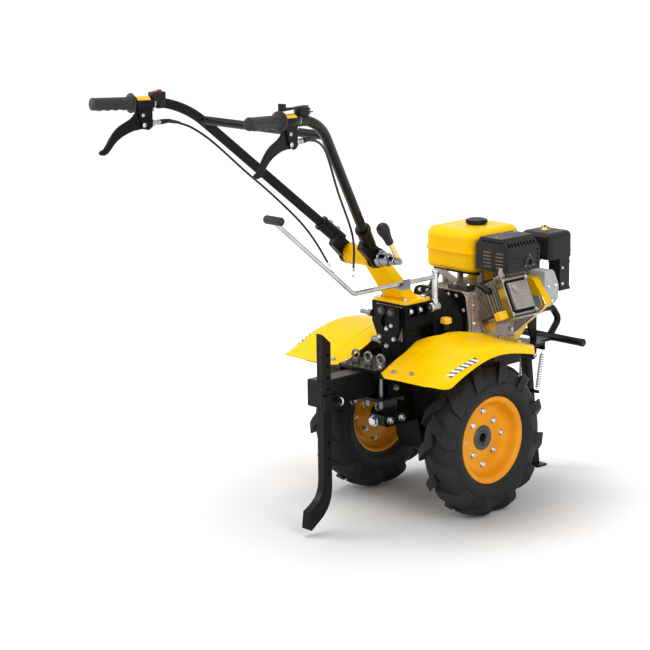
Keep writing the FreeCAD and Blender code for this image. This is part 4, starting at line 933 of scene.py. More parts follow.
# (across, radius) pairs round the rim's section
RIM_LOOP = [(34, 115), (36.4, 117), (38.6, 116.6), (39.4, 114.4), (38.6, 110), (36.4, 105), (33, 101.6),
            (26, 99.2), (16, 96.6), (9, 92), (4, 87.6), (1.8, 84), (1, 80), (1, 66),
            (1.9, 63), (1.9, 34), (1, 31), (1, 25.4), (-2, 25.4), (-2, 84), (-4, 88), (-8, 91.5), (-11, 95.5),
            (-15, 97.6), (-26, 98.8), (-32, 100.4), (-34.6, 103), (-36, 113.2), (-35.6, 114.6), (-34.5, 115),
            (-33.4, 114.4), (-33, 102.2), (-15, 101), (-9, 94.8), (9, 94.8), (15, 101), (33, 102.2)]


class TILLER_OT_tyres(bpy.types.Operator):
    """Make the two lugged tyres and their dished rims"""
    bl_idname = "tiller.tyres"
    bl_label = "Tyres and rims"

    tread_radius = 200                            # where a lug's width is measured round the tyre

    def execute(self, context):
        wheels = group("wheels")
        for side, name in ((1, "right"), (-1, "left")):
            hub = at(side * WHEEL_X, 0, AXLE.z)
            bm = bmesh.new()
            loop = CARCASS + [(-x, r) for x, r in reversed(CARCASS)]
            turned_ring(bm, hub, (1, 0, 0), loop, 120)
            carcass = piece("tyre_carcass_" + name, bm, "tyre_rubber", "wheelset")
            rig.replaces(carcass, "tyre_" + name)
            bm = bmesh.new()
            turned_ring(bm, hub, (side, 0, 0), RIM_LOOP, 96)
            rim = piece("rim_dish_" + name, bm, "wheel_enamel", "wheelset", sharp=40)
            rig.replaces(rim, "rim_" + name)
            for half in (1, -1):
                series(f"tyre_lugs_{name}_{'outer' if half == side else 'inner'}", self.lug(half, wheels),
                       "tyre_rubber", "wheelset", wheels.lugs, hub,
                       first_turn=(math.pi / wheels.lugs * (half > 0), 0, 0),
                       turn=(math.tau / wheels.lugs, 0, 0))
        return {"FINISHED"}

    def lug(self, half, wheels):
        """One lug at the top of a wheel, its middle leading and its end wrapped over the shoulder."""
        bm = bmesh.new()
        rings = []
        for index, (x, root, top) in enumerate(LUG_SPINE):
            share = index / (len(LUG_SPINE) - 1)
            trail = wheels.lug_sweep * (0.5 - min(1.0, max(0.0, (x + 8) / 62)) ** 1.3)
            wide = wheels.lug_width * 1000 * (1 - 0.12 * share) / 2
            crown = wide - 4.5
            ring = []
            for radius, offset in ((root - 3, -wide), (top - 1.2, -crown), (top, -crown + 1.6), (top, crown - 1.6),
                                   (top - 1.2, crown), (root - 3, wide)):
                turn = trail + offset / self.tread_radius
                ring.append(bm.verts.new(near_origin(half * x, radius * math.sin(turn), radius * math.cos(turn))))
            rings.append(ring)
        skinned(bm, rings)
        return template("lug", bm)


class TILLER_OT_wheel_bolts(bpy.types.Operator):
    """Bolt the rims to their hubs and cap the hubs' noses"""
    bl_idname = "tiller.wheel_bolts"
    bl_label = "Wheel bolts"

    disc_x = WHEEL_X + 1                          # the outer face of a rim's disc
    # each circle of four: radius, first turn, and how far heads and nuts lie in front of and behind the disc
    circles = ((73, 0, 0, 3), (56, 45, 0.9, 9.2))

    def execute(self, context):
        size = group("wheels").bolt_size
        heads, nuts = [], []
        for side in (1, -1):
            for radius, first, front, behind in self.circles:
                for step in range(4):
                    turn = math.radians(first + 90 * step)
                    y, z = radius * math.cos(turn), AXLE.z + radius * math.sin(turn)
                    heads.append(((side * (self.disc_x + front), y, z), (side, 0, 0), size))
                    nuts.append(((side * (self.disc_x - behind), y, z), (-side, 0, 0), size))
        fastened("wheel_bolt_heads", hexagon_bolt, "bright_zinc_plate", "wheelset", heads)
        fastened("wheel_bolt_nuts", nut_and_thread, "bright_zinc_plate", "wheelset", nuts)
        self.hubs()
        return {"FINISHED"}

    def hubs(self):
        """Each hub: an enamelled flange behind the rim's disc, a black barrel and a socketed nose."""
        flanges, barrels, noses = bmesh.new(), bmesh.new(), bmesh.new()
        for side in (1, -1):
            foot, way = at(side * self.disc_x, 0, AXLE.z), (side, 0, 0)
            turned_ring(flanges, foot, way, [(-3.2, 19), (-3.2, 69), (-4.2, 70), (-8.2, 70), (-9.2, 69),
                                             (-9.2, 34), (-14, 27), (-14, 19)], 64)
            turned_ring(barrels, foot, way, [(-144, 19), (-143, 20), (-12, 20), (-12, 18.4), (-144, 18.4)], 48)
            turned_ring(noses, foot, way, [(-13, 20), (-8, 30), (1.2, 33.4), (3, 33), (4, 31.6), (4, 21.4),
                                           (2.8, 19.6), (-13, 19.6)], 64)
            turned_ring(noses, foot, way, [(-30, 20.4), (3, 20.4), (3.6, 19.8), (3.6, 15.6), (2.6, 14.8),
                                           (-30, 14.8)], 6)
        piece("hub_flanges", flanges, "wheel_enamel", "wheelset")
        barrel = piece("hub_barrels", barrels, "painted_cast_iron", "wheelset")
        piece("hub_noses", noses, "phosphated_steel", "wheelset")
        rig.replaces(barrel, "wheel_hubs")


def taken_out(whole, cutter):
    """The mesh of one template with another's shapes taken out of it; both are removed."""
    knife = whole.modifiers.new("cut", "BOOLEAN")
    knife.object, knife.operation, knife.solver, knife.use_self = cutter, "DIFFERENCE", "EXACT", True
    depsgraph = bpy.context.evaluated_depsgraph_get()
    mesh = bpy.data.meshes.new_from_object(whole.evaluated_get(depsgraph), depsgraph=depsgraph)
    for spent in (whole, cutter):
        bpy.data.objects.remove(spent)
    return mesh


def mirror_too(bm):
    """Adds the mirror image on the machine's other side."""
    copied = bmesh.ops.duplicate(bm, geom=bm.verts[:] + bm.edges[:] + bm.faces[:])["geom"]
    bmesh.ops.scale(bm, vec=(-1, 1, 1), verts=[part for part in copied if isinstance(part, bmesh.types.BMVert)])


def mirrored_spots(spots):
    """Each spot with its mirror image on the machine's other side."""
    return [((side * x, y, z), (side * way[0], way[1], way[2]), size)
            for (x, y, z), way, size in spots for side in (1, -1)]


# ---- gearbox and column ------------------------------------------------------------------------------

REAR_COVER_Y, BELL_FLANGE_Y, GEARBOX_TOP = -150, 50, DECK + 150
SERRATED_RADIUS = 25
CHEEK_END = 60.3                              # outer face of a handlebar socket's cheek
LEVER_FOOT = PIVOT + Vector((126, 2, 8))
LEVER_RUN = PIVOT + Vector((128, -52, 90)) - LEVER_FOOT


class TILLER_OT_gearbox(bpy.types.Operator):
    """Add the gearbox's bolts, gasket and window frames"""
    bl_idname = "tiller.gearbox"
    bl_label = "Gearbox details"

    # places across and above the floor, with the cover bolts' sizes
    cover_bolts = ((2, 496, 0.7), (19, 506, 0.65), (-24, 471, 0.75), (28, 471, 0.75), (2, 449, 0.75))
    large_bolts = ((-15.5, 543), (20.5, 542))
    bell_bolts = ((66, 562), (38, 563), (91, 526), (91, 436), (66, 400), (-66, 562), (-38, 563), (-91, 526),
                  (-91, 436), (-66, 400))
    window_y, window_length = (-130, -94), 30

    def execute(self, context):
        back, up = (0, -1, 0), (0, 0, 1)
        spots = [((x, REAR_COVER_Y, z), back, size) for x, z, size in self.cover_bolts]
        spots += [((x, BELL_FLANGE_Y, z), back, 0.65) for x, z in self.bell_bolts]
        spots += [((x, y, GEARBOX_TOP + 8), up, 0.95) for x in (-46, 46) for y in (-124, -56)]
        spots += [((54, start + self.window_length / 2, GEARBOX_TOP - 20), (1, 0, 0), 0.9)
                  for start in self.window_y]
        fastened("gearbox_bolts", hexagon_bolt, "bright_zinc_plate", "chassis", spots)
        fastened("gearbox_plugs", hexagon_bolt, "phosphated_steel", "chassis",
                 [((x, REAR_COVER_Y, z), back, 1.3) for x, z in self.large_bolts])
        single("gearbox_gasket", "die_cast_aluminium", cuboid, (-47, 47), (-138.6, -137.4), (466, 557.5))
        bm = bmesh.new()
        low, high = GEARBOX_TOP - 34, GEARBOX_TOP - 6
        for start in self.window_y:
            end = start + self.window_length
            for y, z in (((start - 3, start), (low - 3, high + 3)), ((end, end + 3), (low - 3, high + 3)),
                         ((start, end), (low - 3, low)), ((start, end), (high, high + 3))):
                cuboid(bm, (62, 66), y, z)
        for x, z in [bolt[:2] for bolt in (*self.cover_bolts, *self.large_bolts)]:
            turned(bm, at(x, REAR_COVER_Y + 1, z), back, [(-1, 12), (1, 11.5), (1.2, 9)], 28)
        for x in (-58, -46, 46, 58):
            cuboid(bm, (x - 2, x + 2), (-139.5, -137), (500, 556))
        piece("gearbox_ribs", bm, "painted_cast_iron", "chassis", bevel=1.0)
        return {"FINISHED"}


class TILLER_OT_clamp(bpy.types.Operator):
    """Add the teeth of the handlebar's clamp, its bell nut, lever and knob"""
    bl_idname = "tiller.clamp"
    bl_label = "Handlebar clamp"

    teeth = 32
    bell = ((0, 21), (5.7, 21), (6.2, 22), (13, 22), (14, 20.5), (15, 17.5), (37, 17.5), (39, 15), (43.7, 13))

    def execute(self, context):
        for name, look, body, span in (("hub_teeth", "yellow_powder_coat", "chassis", (33, 43)),
                                       ("cheek_teeth", "black_chassis_enamel", "handlebar", (43.6, 50))):
            bm = bmesh.new()
            for side in (1, -1):
                cuboid(bm, sorted((side * span[0], side * span[1])), (-1.3, 1.3),
                       (SERRATED_RADIUS - 1, SERRATED_RADIUS + 2.6), near_origin)
            series(name, template("tooth", bm), look, body, self.teeth, mm(PIVOT),
                   turn=(math.tau / self.teeth, 0, 0))
        bm = bmesh.new()
        foot, side = mm(PIVOT), Vector((1, 0, 0))
        turned(bm, foot + side * CHEEK_END / 1000, side, self.bell, 40)
        turned(bm, foot, side, [(104, 11.5), (105, 12.7), (121, 12.7), (122, 11.5)], 6)
        turned(bm, foot, side, [(-75, 7), (-74, 8), (138, 8), (140, 6.5)], 20)
        turned(bm, foot, -side, [(CHEEK_END, 14.5), (62, 14.5), (62, 13.9), (70, 13.9), (71, 12.5)], 6)
        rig.replaces(piece("clamp_bell_nut", bm, "hard_chrome", "handlebar"), "clamp_bolt")
        way = LEVER_RUN.normalized()
        bm = bmesh.new()
        turned(bm, mm(LEVER_FOOT), way, [(-8, 5), (-6, 6.8), (50, 6.2), (62, 6.2)], 20)
        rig.replaces(piece("clamp_lever_bar", bm, "yellow_zinc_plate", "handlebar"), "clamp_lever")
        bm = bmesh.new()
        turned(bm, mm(LEVER_FOOT), way, [(50, 8), (51, 10), (53, 10.8), (68, 11.4), (80, 13.5), (90, 16.2),
                                         (98, 17), (106, 15.6), (112, 11), (115, 4)], 32)
        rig.replaces(piece("clamp_lever_knob", bm, "moulded_black_nylon", "handlebar"), "clamp_knob")
        return {"FINISHED"}


class TILLER_OT_gear_lever(bpy.types.Operator):
    """Add the gear lever's bolts and collars, the case's studs and dipstick, and the sockets' bolts and collars"""
    bl_idname = "tiller.gear_lever"
    bl_label = "Gear lever and dipstick"

    lever, lever_ends = (75, -42), (549, 629)     # across and ahead; heights of its foot and of its bend
    dipstick, knob_ribs = (90, -16), 6

    def execute(self, context):
        up = (0, 0, 1)
        bm = bmesh.new()
        foot, bend = (at(*self.lever, z) for z in self.lever_ends)
        turned(bm, foot, (0, -1, 0), [(-13, 6), (-12, 9), (12, 9), (13, 12.5), (17, 12.5), (19, 11), (20, 8)], 28)
        turned(bm, bend, up, [(11, 8.8), (13, 10.5), (18, 10.5), (19, 9)], 24)
        turned(bm, foot, up, [(12, 9.6), (20, 9.6), (21, 8.4)], 24)
        piece("gear_lever_foot_bolt", bm, "bright_zinc_plate", "chassis")
        bm = bmesh.new()
        for root, y, z, radius in ((-60, -142, 528, 6), (-30, -130, 455, 8)):
            turned(bm, at(root, y, z), (-1, 0, 0), [(0, radius + 3), (12, radius + 3), (12.4, radius),
                                                    (40, radius), (42, radius - 2)], 24)
        piece("case_side_studs", bm, "dull_zinc_plate", "chassis")
        single("dipstick_neck", "moulded_black_nylon", turned, at(*self.dipstick, 484), up,
               [(0, 9.5), (2, 9.5), (2.2, 8), (19, 8)], 24)
        bm = bmesh.new()
        turned(bm, at(*self.dipstick, 501), up, [(0, 10), (1, 13.5), (6, 15), (12, 15), (15.5, 13), (17, 8)], 28)
        for step in range(self.knob_ribs):
            turn = math.tau * step / self.knob_ribs
            way = Vector((math.cos(turn), math.sin(turn), 0))
            turned(bm, at(*self.dipstick, 503) + way * 0.0125, up,
                   [(0, 2.5), (1, 3.6), (10, 3.6), (11.5, 2.4)], 12)
        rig.replaces(piece("dipstick_knob", bm, "yellow_nylon", "chassis"), "oil_dipstick")
        front = across(LOWER_WAY)[0].cross(LOWER_WAY)
        front = front if front.y > 0 else -front
        pinches = [(TUBE_FOOT + LOWER_WAY * along + front * 18, tuple(front), 0.8) for along in (66, 92)]
        fastened("socket_pinch_bolts", hexagon_bolt, "bright_zinc_plate", "handlebar",
                 mirrored_spots([(tuple(place), way, size) for place, way, size in pinches]))
        bm = bmesh.new()
        turned_ring(bm, mm(TUBE_FOOT + LOWER_WAY * 108), LOWER_WAY,
                    [(-3, 18), (-3, 20.5), (5, 20.5), (6.5, 19), (6.5, 13)])
        mirror_too(bm)
        piece("socket_collars", bm, "black_chassis_enamel", "handlebar", bevel=0.5)
        return {"FINISHED"}


# ---- grips and controls ------------------------------------------------------------------------------

GRIP_LENGTH = 116
SIDEWAYS = GRIP_WAY.cross(Vector((0, 0, 1))).normalized()


def on_grip(distance):
    """A place on the right grip run's line, in millimetres."""
    return TUBE_CORNER + GRIP_WAY * distance


def beside_grip(distance):
    """A way of placing: out from the right tube, back along it and up, at a distance along the grip run."""
    back = Vector((GRIP_WAY.x, GRIP_WAY.y, 0)).normalized()

    def place(out, along, up):
        return mm(on_grip(distance) + SIDEWAYS * out + back * along + Vector((0, 0, up)))
    return place


class TILLER_OT_grips(bpy.types.Operator):
    """Make the two moulded grips, with finger waves underneath"""
    bl_idname = "tiller.grips"
    bl_label = "Grips"

    waves, wave_start, wave_end, wave_depth = 4, 12, 106, 2.2
    plain_radius, sides = 15.6, 32
    # radii of the hand stop and of the rounded end, by the distance along the grip
    ends = {0: 13.2, 0.6: 24, 1.6: 25, 4.8: 25, 5.8: 24, 6.8: 17.6, 106: 15.6, 108.5: 15.8, 109.5: 16.2,
            112.2: 16.2, 114.4: 15.4, 115.7: 11}

    def execute(self, context):
        bm = bmesh.new()
        up = SIDEWAYS.cross(GRIP_WAY)
        rings = []
        for along in sorted([*self.ends, *range(self.wave_start, self.wave_end, 3)]):
            middle_of_ring = on_grip(GRIP_RUN - GRIP_LENGTH + along)
            share = (along - self.wave_start) / (self.wave_end - self.wave_start)
            wave = self.wave_depth * math.sin(math.pi * self.waves * share) ** 2
            ring = []
            for step in range(self.sides):
                turn = math.tau * step / self.sides
                radius = self.ends.get(along, self.plain_radius + wave * max(0.0, -math.sin(turn)) ** 2)
                ring.append(bm.verts.new(mm(middle_of_ring + (SIDEWAYS * math.cos(turn) + up * math.sin(turn))
                                            * radius)))
            rings.append(ring)
        skinned(bm, rings)
        mirror_too(bm)
        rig.replaces(piece("moulded_grips", bm, "grip_rubber", "handlebar", sharp=50), "grips")
        return {"FINISHED"}


class TILLER_OT_clutch_levers(bpy.types.Operator):
    """Make the two curved clutch levers and the brackets that carry them"""
    bl_idname = "tiller.clutch_levers"
    bl_label = "Clutch levers"

    # (along the tube from its corner, below it) outlines
    blade = ((133, 14), (137, 27), (143, 34), (152, 41), (166, 48), (180, 55), (192, 64), (203, 75), (213, 88),
             (221, 101), (229, 112), (238, 116), (243, 121), (240, 127), (229, 128), (219, 124), (210, 115),
             (201, 104), (190, 93), (175, 83), (158, 75), (142, 69.5), (120, 66), (104, 65), (100, 58), (100, 30),
             (118, 14))
    cheek = ((89, 8), (131, 8), (130, 20), (127, 36), (120, 52), (113, 64), (106, 68), (98, 67), (89, 60))
    clamp = 111                                   # the middle of the bracket's clamp, along the tube

    def execute(self, context):
        for name, outline, spans, replaced in (("curved_levers", self.blade, ((-4, 8),), "clutch_levers"),
                                               ("bracket_cheeks", self.cheek, ((-9, 4.4), (4.6, 4.4)),
                                                "lever_brackets")):
            bm = bmesh.new()
            for start, thick in spans:
                prism(bm, [mm(on_grip(along) + SIDEWAYS * start - Vector((0, 0, drop)))
                           for along, drop in outline], SIDEWAYS * thick)
            if name == "bracket_cheeks":
                turned_ring(bm, mm(on_grip(self.clamp)), GRIP_WAY, [(-26, 13), (-26, 15.6), (-25, 16.4),
                                                                    (25, 16.4), (26, 15.6), (26, 13)])
                cuboid(bm, (-8, 8), (-23, 18), (-24, -10), beside_grip(self.clamp))
                cuboid(bm, (-7, 7), (-22, -12), (-60, -20), beside_grip(self.clamp))
            mirror_too(bm)
            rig.replaces(piece(name, bm, "black_chassis_enamel", "handlebar", bevel=1.3, sharp=40), replaced)
        return {"FINISHED"}


class TILLER_OT_controls(bpy.types.Operator):
    """Add the rocker, throttle cap, bands, pins, cable adjusters and blank labels of the handlebar's controls"""
    bl_idname = "tiller.controls"
    bl_label = "Controls"

    rocker, throttle, band = 70, 62, 85           # distances along the tube from its corner
    label_run, label_turn, label_steps = (98, 136), 62, 12

    def execute(self, context):
        down, up = Vector((0, 0, -1)), Vector((0, 0, 1))
        place = beside_grip(self.rocker)
        bm = bmesh.new()
        cuboid(bm, (-6.5, 6.5), (-11, 9), (26.4, 29.5), place)
        cuboid(bm, (-6.5, 6.5), (-11, -2), (29, 32), place)
        bmesh.ops.scale(bm, vec=(-1, 1, 1), verts=bm.verts[:])
        piece("stop_rocker", bm, "red_nylon", "handlebar", bevel=1.2)
        place = beside_grip(self.throttle)
        bm = bmesh.new()
        turned(bm, place(0, 0, 28), up, [(0, 17), (2.2, 16), (3.4, 12), (3.6, 5)], 32)
        turned_ring(bm, place(0, 0, 20), up, [(-1, 18.6), (-1, 20), (1, 20), (1, 18.6)])
        for along in (50, 58, 66):
            cuboid(bm, (-7.6, 7.6), (along, along + 3), (32.5, 34), place)
        cuboid(bm, (-17, 17), (-22, 8), (16.5, 19), place)
        piece("throttle_cap", bm, "moulded_black_nylon", "handlebar", bevel=0.6)
        bm = bmesh.new()
        turned_ring(bm, mm(on_grip(self.band)), GRIP_WAY, [(-4, 12.6), (-4, 14.6), (4, 14.6), (4, 12.6)])
        cuboid(bm, (-4, 4), (-4, 4), (-22, -13.5), beside_grip(self.band))
        mirror_too(bm)
        piece("tube_bands", bm, "bright_zinc_plate", "handlebar", bevel=0.4)
        bm = bmesh.new()
        for along, drop, radius in ((118, 30, 5), (115, 55, 6)):
            for way in (1, -1):
                turned(bm, mm(on_grip(along) + down * drop + SIDEWAYS * way * 10), SIDEWAYS * way,
                       [(-1, radius), (1.2, radius), (2.4, radius * 0.8), (3, radius * 0.4)], 24)
        mirror_too(bm)
        piece("lever_pins", bm, "bright_zinc_plate", "handlebar")
        bm = bmesh.new()
        start, end = on_grip(92) + down * 52, on_grip(38) + down * 47
        turned(bm, mm(start), end - start, [(0, 4.5), (4, 4.5), (4.2, 8), (5, 8.6), (10, 8.6), (11, 8),
                                            (11.2, 5.5), (19, 5.5), (19.2, 7.2), (25, 7.2), (25.4, 5.2),
                                            (32, 5)], 24)
        mirror_too(bm)
        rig.replaces(piece("adjuster_barrels", bm, "bright_zinc_plate", "handlebar"), "cable_adjusters")
        bm = bmesh.new()
        turned(bm, mm(start), end - start, [(30, 5), (30.4, 6.8), (36, 7), (37, 6.2), (46, 6.2), (54, 4.6)], 24)
        mirror_too(bm)
        piece("adjuster_sleeves", bm, "vinyl_sleeve", "handlebar")
        bm = bmesh.new()
        self.label(bm)
        mirror_too(bm)
        piece("blank_labels", bm, "yellow_vinyl_film", "handlebar")
        return {"FINISHED"}

    def label(self, bm):
        """A blank sticker bent over the top of the lever bracket's clamp."""
        up = SIDEWAYS.cross(GRIP_WAY)
        turns = [math.radians(self.label_turn * (2 * step / self.label_steps - 1))
                 for step in range(self.label_steps + 1)]
        rows = []
        for radius in (16.5, 16.9):
            for along in self.label_run:
                rows.append([bm.verts.new(mm(on_grip(along) + (SIDEWAYS * math.sin(turn) + up * math.cos(turn))
                                             * radius)) for turn in turns])
        for near, far in ((0, 1), (1, 3), (3, 2), (2, 0)):
            for i in range(self.label_steps):
                bm.faces.new([rows[near][i], rows[near][i + 1], rows[far][i + 1], rows[far][i]])
        for end in (0, -1):
            bm.faces.new([rows[0][end], rows[1][end], rows[3][end], rows[2][end]])


# ---- engine ------------------------------------------------------------------------------------------

ENGINE_FOOT = DECK - 39
SHROUD_Y = 262


def leaning(along, y, across_bore):
    """A vector in metres in the cylinder's own directions."""
    return tilted(along, y, across_bore) - tilted(0, 0, 0)


class TILLER_OT_cylinder(bpy.types.Operator):
    """Make the finned barrel and head, with the rocker cover and its bright surround"""
    bl_idname = "tiller.cylinder"
    bl_label = "Cylinder"

    barrel, head = (84, 150), (154, 196)          # where their fins start and end along the bore
    head_fins, fin_thickness = 4, 2.6

    def execute(self, context):
        # the core between the fins is drawn in dark brown steel as painted shade in the grooves, not in the fins'
        # aluminium
        bm = bmesh.new()
        cuboid(bm, (78, 156), (BORE_Y - 40, BORE_Y + 42), (-28, 40), tilted)
        cuboid(bm, (150, 200), (BORE_Y - 50, BORE_Y + 44), (-50, 42), tilted)
        cuboid(bm, (192, 204), (BORE_Y - 62, BORE_Y + 54), (-62, 52), tilted)
        for y, n in ((-44, -34), (-44, 34), (40, -34), (40, 34)):
            cuboid(bm, (92, 196), (BORE_Y + y - 6, BORE_Y + y + 6), (n - 6, n + 6), tilted)
        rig.replaces(piece("cylinder_core", bm, "heat_browned_steel", "chassis", bevel=1.5), "cylinder")
        for name, count, (low, high), y, n in (
                ("barrel_fins", group("engine").fins, self.barrel, (-52, 54), (-35, 49)),
                ("head_fins", self.head_fins, self.head, (-62, 54), (-62, 52))):
            bm = bmesh.new()
            cuboid(bm, (0, self.fin_thickness), y, n, leaning)
            series(name, template("fin", bm), "die_cast_aluminium", "chassis", count, tilted(low, BORE_Y, 0),
                   step=leaning((high - low) / count, 0, 0))
        bm = bmesh.new()
        cuboid(bm, (204, 208.5), (BORE_Y - 55, BORE_Y + 47), (-57, 47), tilted)
        cuboid(bm, (207, 219), (BORE_Y - 40, BORE_Y + 32), (-43, 32), tilted)
        for n in (-30, -5, 20):
            cuboid(bm, (217, 221.5), (BORE_Y - 34, BORE_Y + 26), (n - 4, n + 4), tilted)
        turned(bm, tilted(217, BORE_Y - 22, 14), leaning(1, 0, 0), [(0, 11), (8, 10), (9, 7)], 24)
        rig.replaces(piece("rocker_cover", bm, "die_cast_aluminium", "chassis", bevel=2.5), "valve_cover")
        single("rocker_cover_gasket", "painted_cast_iron", cuboid, (208, 209.6), (BORE_Y - 48, BORE_Y + 40),
               (-51, 40), tilted)
        out = tuple(leaning(1, 0, 0).normalized())
        fastened("rocker_cover_bolts", hexagon_bolt, "bright_zinc_plate", "chassis",
                 [(in_mm(tilted(208.5, BORE_Y + y, n)), out, 0.75) for y in (-50, 42) for n in (-51, 41)])
        bm = bmesh.new()
        cuboid(bm, (198, 224), (BORE_Y - 66, BORE_Y - 63.4), (-66, 56), tilted)
        cuboid(bm, (198, 224), (BORE_Y - 66, BORE_Y + 57), (-66, -63.4), tilted)
        cuboid(bm, (196, 199), (BORE_Y - 66, BORE_Y - 58), (-66, 56), tilted)
        piece("cylinder_surround", bm, "bright_zinc_plate", "chassis", bevel=0.6)
        single("surround_corner", "yellow_nylon", cuboid, (184, 206), (68, 99), (-58, -36), tilted, bevel=3)
        return {"FINISHED"}


class TILLER_OT_crankcase(bpy.types.Operator):
    """Add the crankcase's ribs and screws, the plug's cap and lead, the exhaust pipe and the blower's edges"""
    bl_idname = "tiller.crankcase"
    bl_label = "Crankcase details"

    def execute(self, context):
        bm = bmesh.new()
        for x, z in (((91, 95.5), (389, 552)), ((-103.5, -99), (389, 552)), ((-92, 84), (562, 566.5))):
            cuboid(bm, x, (80, 90), z)
        for y in (122, 150, 178, 206, 234):
            cuboid(bm, (90, 95), (y - 2, y + 2), (384, 424))
            cuboid(bm, (-103, -98), (y - 2, y + 2), (384, 540))
        cuboid(bm, (90, 97), (96, 250), (421, 427))
        turned(bm, at(92, BORE_Y - 20, 464), (1, 0, 0.3), [(-3, 19), (4, 19), (6, 16)], 28)
        piece("crankcase_ribs", bm, "die_cast_aluminium", "chassis", bevel=1.6)
        right = (1, 0, 0)
        spots = [((95.5, 85, z), right, 0.62) for z in (402, 438, 486, 534)]
        spots += [((95, 238, z), right, 0.7) for z in (406, 446)] + [((95, 100, 400), right, 1.0)]
        spots += [((x, y, ENGINE_FOOT + 16), (0, 0, 1), 0.9) for x in (-78, 78) for y in (96, 228)]
        fastened("crankcase_bolts", hexagon_bolt, "bright_zinc_plate", "chassis", spots)
        bm = bmesh.new()
        cap = [tilted(168, 112, 26), tilted(168, 92, 30), tilted(164, 84, 40), tilted(152, 82, 52)]
        tube(bm, cap, [9, 9.5, 8.5, 6], 16)
        lead = [tilted(156, 82, 48), tilted(140, 84, 62), at(88, 108, 584), at(60, 160, 580),
                at(44, 236, 578), at(40, 266, 574)]
        tube(bm, lead, 3.6, 10)
        piece("spark_plug_cap_and_lead", bm, "vinyl_sleeve", "chassis")
        single("exhaust_pipe", "die_cast_aluminium", tube,
               [at(144, 150, 640), at(147, 140, 620), at(154, 131, 605), at(164, 122, 594)], 9.5, 18)
        single("blower_inner_plate", "pressed_aluminium", prism, [
            at(x, SHROUD_Y - 1, z) for x, z in ((90, 545), (178, 545), (186, 520), (150, 488), (92, 436))],
            (0, -3, 0), bevel=0.8)
        single("blower_edge", "bright_zinc_plate", tube, [
            at(x, SHROUD_Y - 2, z) for x, z in ((186, 543), (197, 526), (190, 514), (64, 414))], 2.2, 10)
        return {"FINISHED"}


class TILLER_OT_starter(bpy.types.Operator):
    """Add the recoil starter's vents as dark bars of painted shade, its cup, screws and pull handle"""
    bl_idname = "tiller.starter"
    bl_label = "Recoil starter"

    vents, face_y = 16, 344
    screw_circle, rim_y = 80, 318

    def execute(self, context):
        ahead, middle_of_cover = (0, 1, 0), at(0, self.face_y, CRANK_Z)
        # the vents are dark bars drawn in place of open slots: painted shade in the slots
        bm = bmesh.new()
        cuboid(bm, (-2.2, 2.2), (-3, 1.4), (34, 60), near_origin)
        series("starter_vents", template("vent", bm), "painted_cast_iron", "chassis", self.vents,
               middle_of_cover, turn=(0, math.tau / self.vents, 0))
        bm = bmesh.new()
        turned(bm, middle_of_cover, ahead, [(-1, 27), (1.5, 27), (2.5, 25), (2.5, 20), (1.5, 19)], 40)
        outer, inner = at(-112, 320, CRANK_Z + 58), at(-60, 320, CRANK_Z + 36)
        turned(bm, outer, inner - outer, [(-6, 7), (-5, 9.5), (24, 9.5), (27, 7), (30, 4)], 20)
        piece("starter_cup_and_handle", bm, "moulded_black_nylon", "chassis", bevel=0.5)
        radius = self.screw_circle
        spots = [((radius * math.cos(turn), self.rim_y, CRANK_Z + radius * math.sin(turn)), ahead, 0.6)
                 for turn in (math.radians(30 + 60 * step) for step in range(6))]
        fastened("starter_screws", hexagon_bolt, "bright_zinc_plate", "chassis", spots)
        return {"FINISHED"}


GUARD_X, GUARD_Y, GUARD_Z = (57, 175), (137, 262), (DECK + 208, DECK + 298)
OUTLET = Vector((GUARD_X[1], 218, DECK + 231))


class TILLER_OT_guard(bpy.types.Operator):
    """Cut the louvres and holes of the muffler guard, and add its ribs, screws, outlet ring and a pale plate of
    painted light behind the louvres
    """
    bl_idname = "tiller.guard"
    bl_label = "Muffler guard"

    def execute(self, context):
        (left, right), (rear, front), (bottom, top) = GUARD_X, GUARD_Y, GUARD_Z
        through_rear = (rear - 4, rear + 5)
        bm = bmesh.new()
        for column in (78, 122):
            for row in range(group("engine").slots):
                low = bottom + 10 + 9.5 * row
                cuboid(bm, (column, column + 33), through_rear, (low, low + 3.6))
        for step in range(7):
            x = left + 22 + 11.5 * step
            cuboid(bm, (x, x + 6.5), through_rear, (top - 13, top - 8))
        for step in range(9):
            y = rear + 9 + 12.5 * step
            cuboid(bm, (right - 22, right - 2), (y, y + 6.5), (top - 22, top - 13))
        for row in range(4):
            low, y = bottom + 14 + 12 * row, rear + 14 + 24 * row
            cuboid(bm, (right - 5, right + 4), (front - 13, front - 6), (low, low + 5))
            cuboid(bm, (left - 4, left + 5), (y, y + 16), (bottom + 20, bottom + 26))
        shell = bmesh.new()
        shell.from_mesh(NODES["muffler_guard"].data)
        bmesh.ops.remove_doubles(shell, verts=shell.verts, dist=1e-6)
        mesh = taken_out(template("guard_shell", shell), template("slots", bm))
        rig.replaces(shown("louvred_guard", mesh, "moulded_black_nylon", "chassis", bevel=0.5), "muffler_guard")
        bm = bmesh.new()
        for row in range(4):
            z = bottom + 12 + 11 * row
            cuboid(bm, (right - 1, right + 1.4), (rear + 8, rear + 56), (z, z + 3))
        piece("guard_ribs", bm, "moulded_black_nylon", "chassis", bevel=0.8)
        single("outlet_ring", "heat_browned_steel", turned_ring, mm(OUTLET), (1, 0, 0),
               [(-2, 11.2), (-2, 15), (2.4, 15), (3.6, 13.8), (3.6, 11.2)])
        # a pale plate just behind the rear louvres, as painted light where the muffler inside lies in shade
        single("muffler_heat_shield", "die_cast_aluminium", cuboid, (75, 158), (rear + 3, rear + 4),
               (bottom + 6, bottom + 60))
        spots = [((OUTLET.x + 2, OUTLET.y + 19 * math.cos(turn), OUTLET.z + 19 * math.sin(turn)), (1, 0, 0), 0.4)
                 for turn in (math.radians(90 + 120 * step) for step in range(3))]
        spots += [((x, y, top), (0, 0, 1), 0.6) for x, y in ((120, 150), (100, 246))]
        fastened("guard_screws", socket_screw, "bright_zinc_plate", "chassis", spots)
        return {"FINISHED"}


